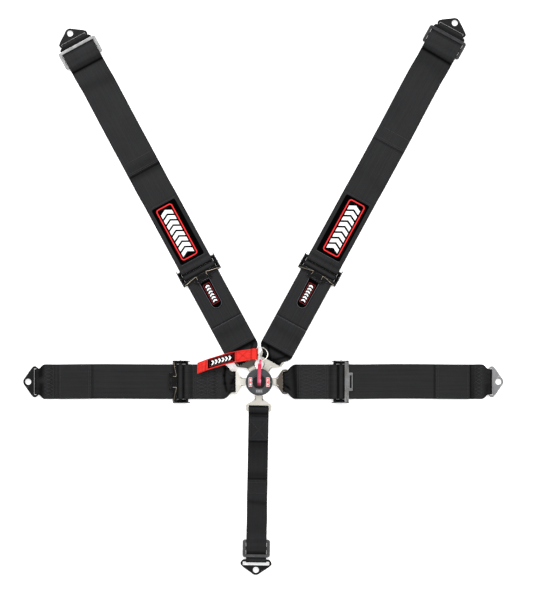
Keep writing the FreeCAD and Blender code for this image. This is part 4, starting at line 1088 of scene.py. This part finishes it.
for name in ("left_lap", "right_lap"):
    deg, a0, ub = DEG[name], A0[name], UB[name]
    xf = turned(deg)
    seed = 1.0 if name == "left_lap" else 4.2
    hem_from, hem_to = HEM[name]
    wave = Wave(seed, [(a0 + 60.0, ub - 22.0, 0.55, 30.0)])
    # short strap, sewn back on itself round the latch plate and the adjuster's fixed bar
    path = [(112.0, 2.93), (74.0, 2.93), (66.0, 2.5)] + TONGUE_LOOP + [(66.5, 9.2), (72.5, 7.6), (80.0, 4.7), (a0 - 12.0, 4.45), (a0 - 6.0, 7.0)]
    path += oval(a0, 6.0, 6.75, 3.95, 110.0, -90.0, 18) + [(a0 - 6.0, 2.4), (a0 - 12.0, 2.93), (113.0, 2.93)]
    # a shallow fold and a band of painted shade beside the adjuster
    folds = FOLDS[name] + ((a0 - 9.5, -38.0, a0 - 9.5, 38.0, 3.0, 0.2, 0.35), (a0 + 6.0, -38.0, a0 + 6.0, 38.0, 2.0, 0.0, 0.6))
    o = strap(name + "_short_strap_web", path, GATHER + [(a0 + 10.0, 38.0)], xf, M["web_lap"], cols=58, coarse=1.7, pleats=((13.0, 1.3, 0.0), (7.5, 0.5, 1.0)), dents=folds)
    body = BODY_OF[name + "_short_strap"]
    attach(o, body, replaces=(name + "_short_strap",))
    t = Threads(xf)
    z = 5.22
    t.row([(84.0, -33.0), (a0 - 15.0, -33.0)], z)
    t.row([(84.0, 33.0), (a0 - 15.0, 33.0)], z)
    for u in (84.0, 88.0, a0 - 15.0):
        t.row([(u, -34.0), (u, 34.0)], z)
    n_box = 2
    for k in range(n_box):
        u0 = 90.0 + k * (a0 - 108.0) / n_box
        u1 = u0 + (a0 - 108.0) / n_box - 3.0
        t.zigzag(u0, u1, 31.0, 8, z)
        t.zigzag(u1, u0, 31.0, 8, z)
        t.row([(u1 + 1.5, -34.0), (u1 + 1.5, 34.0)], z)
    attach(t.make(name + "_short_strap_stitching", M["thread"]), body)
    # webbing from the adjuster to the bracket, folded round the bracket and sewn
    path = [(a0 + 22.2, 0.95), (ub - 14.0, 0.95)] + oval(ub, 5.0, 6.45, 3.85, -90.0, 90.0, 20) + [(ub - 6.0, 6.3), (ub - 14.0, 2.6), (SEW[name], 2.47)]
    halves = [(a0, 38.0), (ub - 15.0, 38.0), (ub - 11.0, 36.6), (ub - 7.5, 33.0), (ub - 4.6, 29.4), (ub - 3.2, 28.1), (ub + 1.5, 27.5), (ub + 8.0, 27.4)]
    o = strap(name + "_webbing_web", path, halves, xf, M["web_lap"], cols=58, wave=wave, outer=-1.0, pleats=((15.0, 0.5, 0.6),), dents=ANCHOR_FOLDS[name])
    b = (name + "_adjuster", name + "_anchor", at(deg, a0 + 24.0), at(deg, a0 + 200.0))
    attach(o, blend=b, replaces=(name + "_webbing",))
    t = Threads(xf, wave)
    z = 3.27
    s0, s1 = SEW[name] + 2.5, ub - 13.0
    t.row([(s0, -34.5), (s0, 34.5)], z)
    t.row([(s1, -33.5), (s1, 33.5)], z)
    t.row([(s0, -34.5), (s1, -34.0)], z)
    t.row([(s0, 34.5), (s1, 34.0)], z)
    t.zigzag(s0 + 1.0, s1 - 1.0, 32.5, 8, z)
    t.zigzag(s1 - 1.0, s0 + 1.0, 32.5, 8, z)
    attach(t.make(name + "_anchor_stitching", M["thread"]), blend=b)
    # free end: over the lock bar and back along the belt, with a folded hem
    zt = 2.62
    path = [(a0 + x, zz) for x, zz in wrap(3.85)] + [(a0 + 34.0, 3.85), (a0 + 70.0, zt), (hem_to - 0.9, zt)]
    path += arc(hem_to - 0.9, zt + 0.8, 0.8, -90.0, 90.0, 8) + [(hem_to - 6.0, zt + 1.58), (hem_from, zt + 1.58)]
    # bands of painted shade near the lock bar and at the hem
    folds = ((a0 + 9.0, -38.0, a0 + 9.0, 38.0, 2.2, 0.0, 0.55), (a0 + 23.0, -38.0, a0 + 23.0, 38.0, 5.0, 0.0, 0.4), (hem_from - 1.2, -38.0, hem_from - 1.2, 38.0, 1.4, 0.0, 0.5))
    o = strap(name + "_tail_web", path, [(a0, 38.0), (hem_to - 3.0, 38.0), (hem_to, 37.6)], xf, M["web_lap"], cols=58, wave=wave, sigma=0.8, dents=folds)
    b = (name + "_adjuster", name + "_tail", at(deg, a0 + 24.0), at(deg, hem_from))
    attach(o, blend=b, replaces=(name + "_tail",))
    t = Threads(xf, wave)
    z = zt + 1.58 + 0.78
    for u in (hem_from + 3.0, hem_from + 6.5, hem_to - 4.0):
        t.row([(u, -35.0), (u, 35.0)], z)
    t.row([(hem_from + 3.0, -35.0), (hem_to - 4.0, -35.0)], z)
    t.row([(hem_from + 3.0, 35.0), (hem_to - 4.0, 35.0)], z)
    attach(t.make(name + "_tail_stitching", M["thread"]), blend=b)


def slide_line(s0, w, g, ub, tail_u):
    main = [(s0 + w + 0.5, 0.95), (s0 + w + g - 1.5, 8.2), (s0 + 2 * w + g + 1.5, 8.2), (s0 + 2 * w + 2 * g - 1.0, 0.95), (ub - 3.0, 0.95)]
    loop = arc(ub, 5.0, 3.85, -90.0, 140.0, 18) if w < 7.0 else oval(ub, 5.0, 6.45, 3.85, -90.0, 90.0, 20)
    tail = [(ub - 6.0, 2.6), (s0 + 2 * w + 2 * g - 0.1, 2.6), (s0 + 2 * w + g + 2.3, 9.85), (s0 + w + g - 2.2, 9.85), (s0 + w + 1.0, 8.3), (s0 - 1.0, 8.3),
            (s0 - 12.0, 3.0), (s0 - 22.0, 2.55), (tail_u, 2.5)]
    return main + loop + tail


for name in ("left_shoulder", "right_shoulder"):
    deg, a0, ub, s0 = DEG[name], A0[name], UB[name], S0[name]
    xf = turned(deg)
    seed = 2.3 if name == "left_shoulder" else 5.1
    hem_from, end = HEM[name]
    patch = PATCH[name]
    # lower strap, sewn round the latch plate
    path = [(a0 - 22.2, 0.95), (80.0, 0.95), (68.0, 1.3)] + TONGUE_LOOP + [(68.0, 6.9), (78.0, 2.5), (150.0, 2.47)]
    o = strap(name + "_lower_strap_web", path, GATHER + [(a0, 38.0)], xf, M["web"], cols=52, coarse=2.4, pleats=((13.0, 1.3, 0.0), (7.5, 0.5, 1.0)), dents=FOLDS[name])
    b = (name + "_tongue", name + "_adjuster", at(deg, 100.0), at(deg, a0 - 24.0))
    attach(o, blend=b, replaces=(name + "_lower_strap",))
    # free end under the finger tab, with a folded hem
    zt = 4.2
    path = [(a0 - x, zz) for x, zz in wrap(zt)] + [(end + 0.9, zt)] + [(x, zz) for x, zz in arc(end + 0.9, zt + 0.8, 0.8, -90.0, -270.0, 8)] + [(hem_from, zt + 1.58)]
    # bands of painted shade near the lock bar, at the hem and beyond it
    folds = ((a0 - 9.0, -38.0, a0 - 9.0, 38.0, 2.2, 0.0, 0.55), (a0 - 23.0, -38.0, a0 - 23.0, 38.0, 5.0, 0.0, 0.4), (hem_from + 1.6, -38.0, hem_from + 1.6, 38.0, 1.4, 0.0, 0.5),
             (end + 38.0, -38.0, end + 44.0, 38.0, 9.0, 0.0, 0.16))
    o = strap(name + "_tail_web", path, [(a0, 38.0), (end + 3.0, 38.0), (end, 37.6)], xf, M["web"], cols=48, coarse=2.4, sigma=0.8, dents=folds)
    b = (name + "_adjuster", name + "_tail", at(deg, a0 - 24.0), at(deg, hem_from))
    attach(o, blend=b, replaces=(name + "_tail",))
    t = Threads(xf)
    z = zt + 1.58 + 0.78
    for u in (hem_from - 3.0, end + 4.0, end + 7.5):
        t.row([(u, -35.0), (u, 35.0)], z)
    t.row([(hem_from - 3.0, -35.0), (end + 4.0, -35.0)], z)
    t.row([(hem_from - 3.0, 35.0), (end + 4.0, 35.0)], z)
    attach(t.make(name + "_tail_stitching", M["thread"]), blend=b)
    t = Threads(xf, width=1.0, height=0.45)
    t.row([(hem_from - 0.9, -37.4), (hem_from - 0.9, 37.4)], z, 2.2, 0.92)
    attach(t.make(name + "_tail_hem_stitching", M["thread_grey"]), blend=b)
    # small tab with a rounded end, sewn on below the adjuster
    outline = [(252.0, -12.0), (252.0, 12.0), (196.5, 11.0)] + [(196.5 + 11.0 * math.cos(math.radians(d)), 11.0 * math.sin(math.radians(d))) for d in range(105, 256, 15)] + [(196.5, -11.0)]
    o = loft(name + "_pull_tab_patch", outline, [(0.0, 6.45), (0.0, 6.8), (0.35, 7.12), (0.9, 7.18), (1.4, 7.02), (1.8, 7.0)], xf, M["label"])
    attach(o, name + "_adjuster", replaces=(name + "_pull_tab",))
    polys = chevrons(199.4, 240.6, 4.6, 6, 3.6, 2.6)
    attach(prisms(name + "_pull_tab_chevrons", polys, 6.95, 7.12, xf, M["white"], bevel=0.05), name + "_adjuster")
    o = plate(name + "_pull_tab_lines", rounded(195.6, 243.8, -8.1, 8.1, 1.8), [np.array(rounded(196.8, 242.6, -6.9, 6.9, 1.2))], 6.9, 7.12, 0.05, xf, M["red_dark"], 0.1)
    attach(o, name + "_adjuster")
    rim = [(250.0, -12.3, 6.85), (196.5, -11.3, 6.85)] + [(196.5 + 11.3 * math.cos(math.radians(d)), 11.3 * math.sin(math.radians(d)), 6.85) for d in range(-105, -256, -15)]
    rim += [(196.5, 11.3, 6.85), (250.0, 12.3, 6.85)]
    attach(wire(name + "_pull_tab_piping", rim, 0.5, xf, M["thread_grey"], sigma=0.5), name + "_adjuster")
    # upper strap: adjuster loop, patch, three-bar slide, bracket and back to its sewn end
    wave = Wave(seed, [(patch[1] + 12.0, s0 - 24.0, 0.9, 40.0)])
    sewn = patch[1] + 6.0
    path = [(sewn, 2.46), (a0 + 13.0, 2.5), (a0 + 6.0, 6.6)] + oval(a0, 6.0, 6.75, 3.95, 70.0, 270.0, 18) + [(a0 + 6.0, 1.4), (a0 + 13.0, 0.95)]
    path += slide_line(s0, 7.0, 10.0, ub, TAIL_U[name])
    halves = [(a0 - 10.0, 38.0), (ub - 4.4, 38.0), (ub - 2.0, 36.4), (ub, 32.0), (ub + 1.8, 28.6), (ub + 8.0, 28.0)]
    e = TAIL_U[name]
    # creases and bands of painted shade near the tail's sewn end, the slide and the adjuster
    folds = ((e - 1.0, -38.0, e - 1.0, 38.0, 1.6, 0.0, 0.75), (e - 4.0, -38.0, e - 4.0, 38.0, 9.0, 0.0, 0.4), (e + 14.0, -38.0, e + 14.0, 38.0, 9.0, 0.0, 0.22),
             (s0 - 11.5, -38.0, s0 - 11.0, 38.0, 3.4, 0.4, 0.95), (s0 - 2.0, -38.0, s0 - 2.0, 38.0, 6.0, 0.0, 0.25), (s0 - 60.0, -38.0, s0 - 50.0, 38.0, 12.0, 0.0, 0.2), (a0 - 6.0, -38.0, a0 - 6.0, 38.0, 2.0, 0.0, 0.6),
             (a0 + 9.0, -38.0, a0 + 9.0, 38.0, 3.0, 0.0, 0.3)) if name == "left_shoulder" else (
             (e - 1.0, -38.0, e - 1.0, 38.0, 1.4, 0.0, 0.5), (s0 - 15.0, -38.0, s0 - 12.5, 38.0, 4.0, 0.4, 0.95), (s0 - 36.0, -38.0, s0 - 30.0, 38.0, 22.0, 0.0, 0.25), (a0 - 6.0, -38.0, a0 - 6.0, 38.0, 2.0, 0.0, 0.6),
             (a0 + 9.0, -38.0, a0 + 9.0, 38.0, 3.0, 0.0, 0.3), (e - 90.0, -38.0, e - 80.0, 38.0, 16.0, 0.0, 0.12))
    o = strap(name + "_upper_strap_web", path, halves, xf, M["web"], cols=48, coarse=3.0, wave=wave, outer=-1.0, pleats=((15.0, 0.45, 0.6),), sigma=0.9, dents=folds)
    attach(o, name + "_upper", replaces=(name + "_upper_strap",))
    t = Threads(xf, wave)
    u1 = TAIL_U[name]
    z = 3.3
    for u in (u1 + 3.0, u1 + 6.5, u1 + 30.0):
        t.row([(u, -35.0), (u, 35.0)], z)
    for s in (-35.0, 35.0):
        t.row([(u1 + 3.0, s), (u1 + 30.0, s)], z)
    t.row([(sewn - 2.5, -35.0), (sewn - 2.5, 35.0)], 3.25)
    o = t.make(name + "_upper_stitching", M["thread"])
    attach(o, name + "_upper")
    # large patch with piped edge, chevrons and two lines
    o = loft(name + "_label_patch", rounded(patch[0], patch[1], -28.75, 28.75, 4.0), [(0.0, 3.2), (0.0, 3.62), (0.3, 3.86), (0.8, 3.92), (1.3, 3.86), (1.8, 3.76), (2.4, 3.74)], xf, M["label"])
    attach(o, name + "_upper", replaces=(name + "_label",))
    t = Threads(xf)
    t.row([(patch[0] + 3.6, -25.0), (patch[1] - 3.6, -25.0), (patch[1] - 3.6, 25.0), (patch[0] + 3.6, 25.0), (patch[0] + 3.6, -25.0)], 3.76, 2.8)
    attach(t.make(name + "_label_stitching", M["label"]), name + "_upper")
    t = Threads(xf, width=0.9, height=0.4)
    t.row([(patch[0] - 1.2, -28.0), (patch[0] - 1.2, 28.0)], 3.25, 2.4, 0.9)
    attach(t.make(name + "_label_edge_stitching", M["thread_grey"]), name + "_upper")
    off = 2.0 if name == "left_shoulder" else -2.0
    polys = [[(u, v + off) for u, v in p] for p in chevrons(patch[0] + 14.5, patch[1] - 13.0, 13.4, 8, 9.0, 7.0)]
    attach(prisms(name + "_label_chevrons", polys, 3.7, 3.92, xf, M["white"], bevel=0.06), name + "_upper")
    outline = rounded(patch[0] + 6.5, patch[1] - 5.0, off - 19.6, off + 19.6, 6.5, 10)
    inside = np.array(rounded(patch[0] + 9.1, patch[1] - 7.6, off - 17.0, off + 17.0, 4.0, 10))
    attach(plate(name + "_label_lines", outline, [inside], 3.65, 3.92, 0.06, xf, M["red"], 0.1), name + "_upper")

# crotch belt
deg, ub, s0 = DEG["crotch"], UB["crotch"], S0["crotch"]
xf = turned(deg)
wave = Wave(3.3, [(225.0, s0 - 20.0, 0.8, 30.0)])
path = [(130.0, 2.46), (78.0, 2.5), (67.0, 7.2)] + TONGUE_LOOP[::-1] + [(68.0, 1.3), (80.0, 0.95)] + slide_line(s0, 6.5, 9.75, ub, TAIL_U["crotch"])
o = strap("crotch_strap_web", path, [(50.0, 22.0), (400.0, 22.2)], xf, M["web_crotch"], cols=34, coarse=2.0, wave=wave, outer=-1.0, sigma=0.9, dents=FOLDS["crotch"])
attach(o, "crotch_belt", replaces=("crotch_strap",))
t = Threads(xf, wave)
for u in (84.0, 127.0):
    t.row([(u, -18.5), (u, 18.5)], 3.25)
for s in (-18.5, 18.5):
    t.row([(84.0, s), (127.0, s)], 3.25)
t.row([(86.0, -17.0), (125.0, 17.0)], 3.25)
t.row([(86.0, 17.0), (125.0, -17.0)], 3.25)
for u in (217.0, 221.0, 244.0):
    t.row([(u, -18.5), (u, 18.5)], 3.3)
for s in (-18.5, 18.5):
    t.row([(217.0, s), (244.0, s)], 3.3)
attach(t.make("crotch_stitching", M["thread"]), "crotch_belt")

# ------------------------------------------------------------------ stage, light and camera
floor_mat = Nodes("studio_floor")
obj = floor_mat.new("ShaderNodeTexCoord").outputs["Object"]
floor_mat.set(Base_Color=floor_mat.mix(floor_mat.noise(obj, 3.0, 2.0), rgb(0.93, 0.93, 0.93), rgb(0.95, 0.95, 0.95)), Roughness=0.9,
              Emission_Color=rgb(1.0, 1.0, 1.0), Emission_Strength=0.45)
me = bpy.data.meshes.new("studio_floor")
me.from_pydata([(-8, -8, -0.0004), (8, -8, -0.0004), (8, 8, -0.0004), (-8, 8, -0.0004)], [], [(0, 1, 2, 3)])
me.materials.append(floor_mat.m)
floor = bpy.data.objects.new("studio_floor", me)
bpy.context.scene.collection.objects.link(floor)

scene = bpy.context.scene
world = bpy.data.worlds.new("studio")
scene.world = world
world.use_nodes = True
wt = world.node_tree
bg = next(n for n in wt.nodes if n.type == "BACKGROUND")
coord = wt.nodes.new("ShaderNodeTexCoord")
sep = wt.nodes.new("ShaderNodeSeparateXYZ")
ramp = wt.nodes.new("ShaderNodeValToRGB")
ramp.color_ramp.elements[0].position = 0.0
ramp.color_ramp.elements[0].color = (0.50, 0.50, 0.51, 1.0)
ramp.color_ramp.elements[1].position = 0.97
ramp.color_ramp.elements[1].color = (1.0, 1.0, 1.0, 1.0)
mid_el = ramp.color_ramp.elements.new(0.78)
mid_el.color = (0.42, 0.42, 0.43, 1.0)
wt.links.new(coord.outputs["Generated"], sep.inputs[0])
wt.links.new(sep.outputs[2], ramp.inputs[0])
wt.links.new(ramp.outputs[0], bg.inputs[0])
bg.inputs[1].default_value = 1.0


def area(name, loc, target, size, power):
    d = bpy.data.lights.new(name, "AREA")
    d.shape = "SQUARE"
    d.size = size
    d.energy = power
    o = bpy.data.objects.new(name, d)
    o.location = loc
    o.rotation_mode = "QUATERNION"
    o.rotation_quaternion = (Vector(target) - Vector(loc)).to_track_quat("-Z", "Y")
    scene.collection.objects.link(o)
    return o


area("key", (-1.5, 2.2, 2.4), (0.0, 0.15, 0.0), 1.5, 95.0)
area("fill", (2.0, 1.2, 2.2), (0.0, 0.15, 0.0), 1.5, 45.0)
area("front", (0.3, -2.2, 2.3), (0.0, 0.15, 0.0), 1.6, 18.0)

cam_data = bpy.data.cameras.new("camera")
cam_data.lens = 100.0
cam_data.sensor_width = 36.0
cam_data.clip_start, cam_data.clip_end = 0.05, 30.0
cam = bpy.data.objects.new("camera", cam_data)
scene.collection.objects.link(cam)
cam.location = (0.0215, 0.1787, 3.65)
scene.camera = cam
scene.view_settings.view_transform = "Standard"
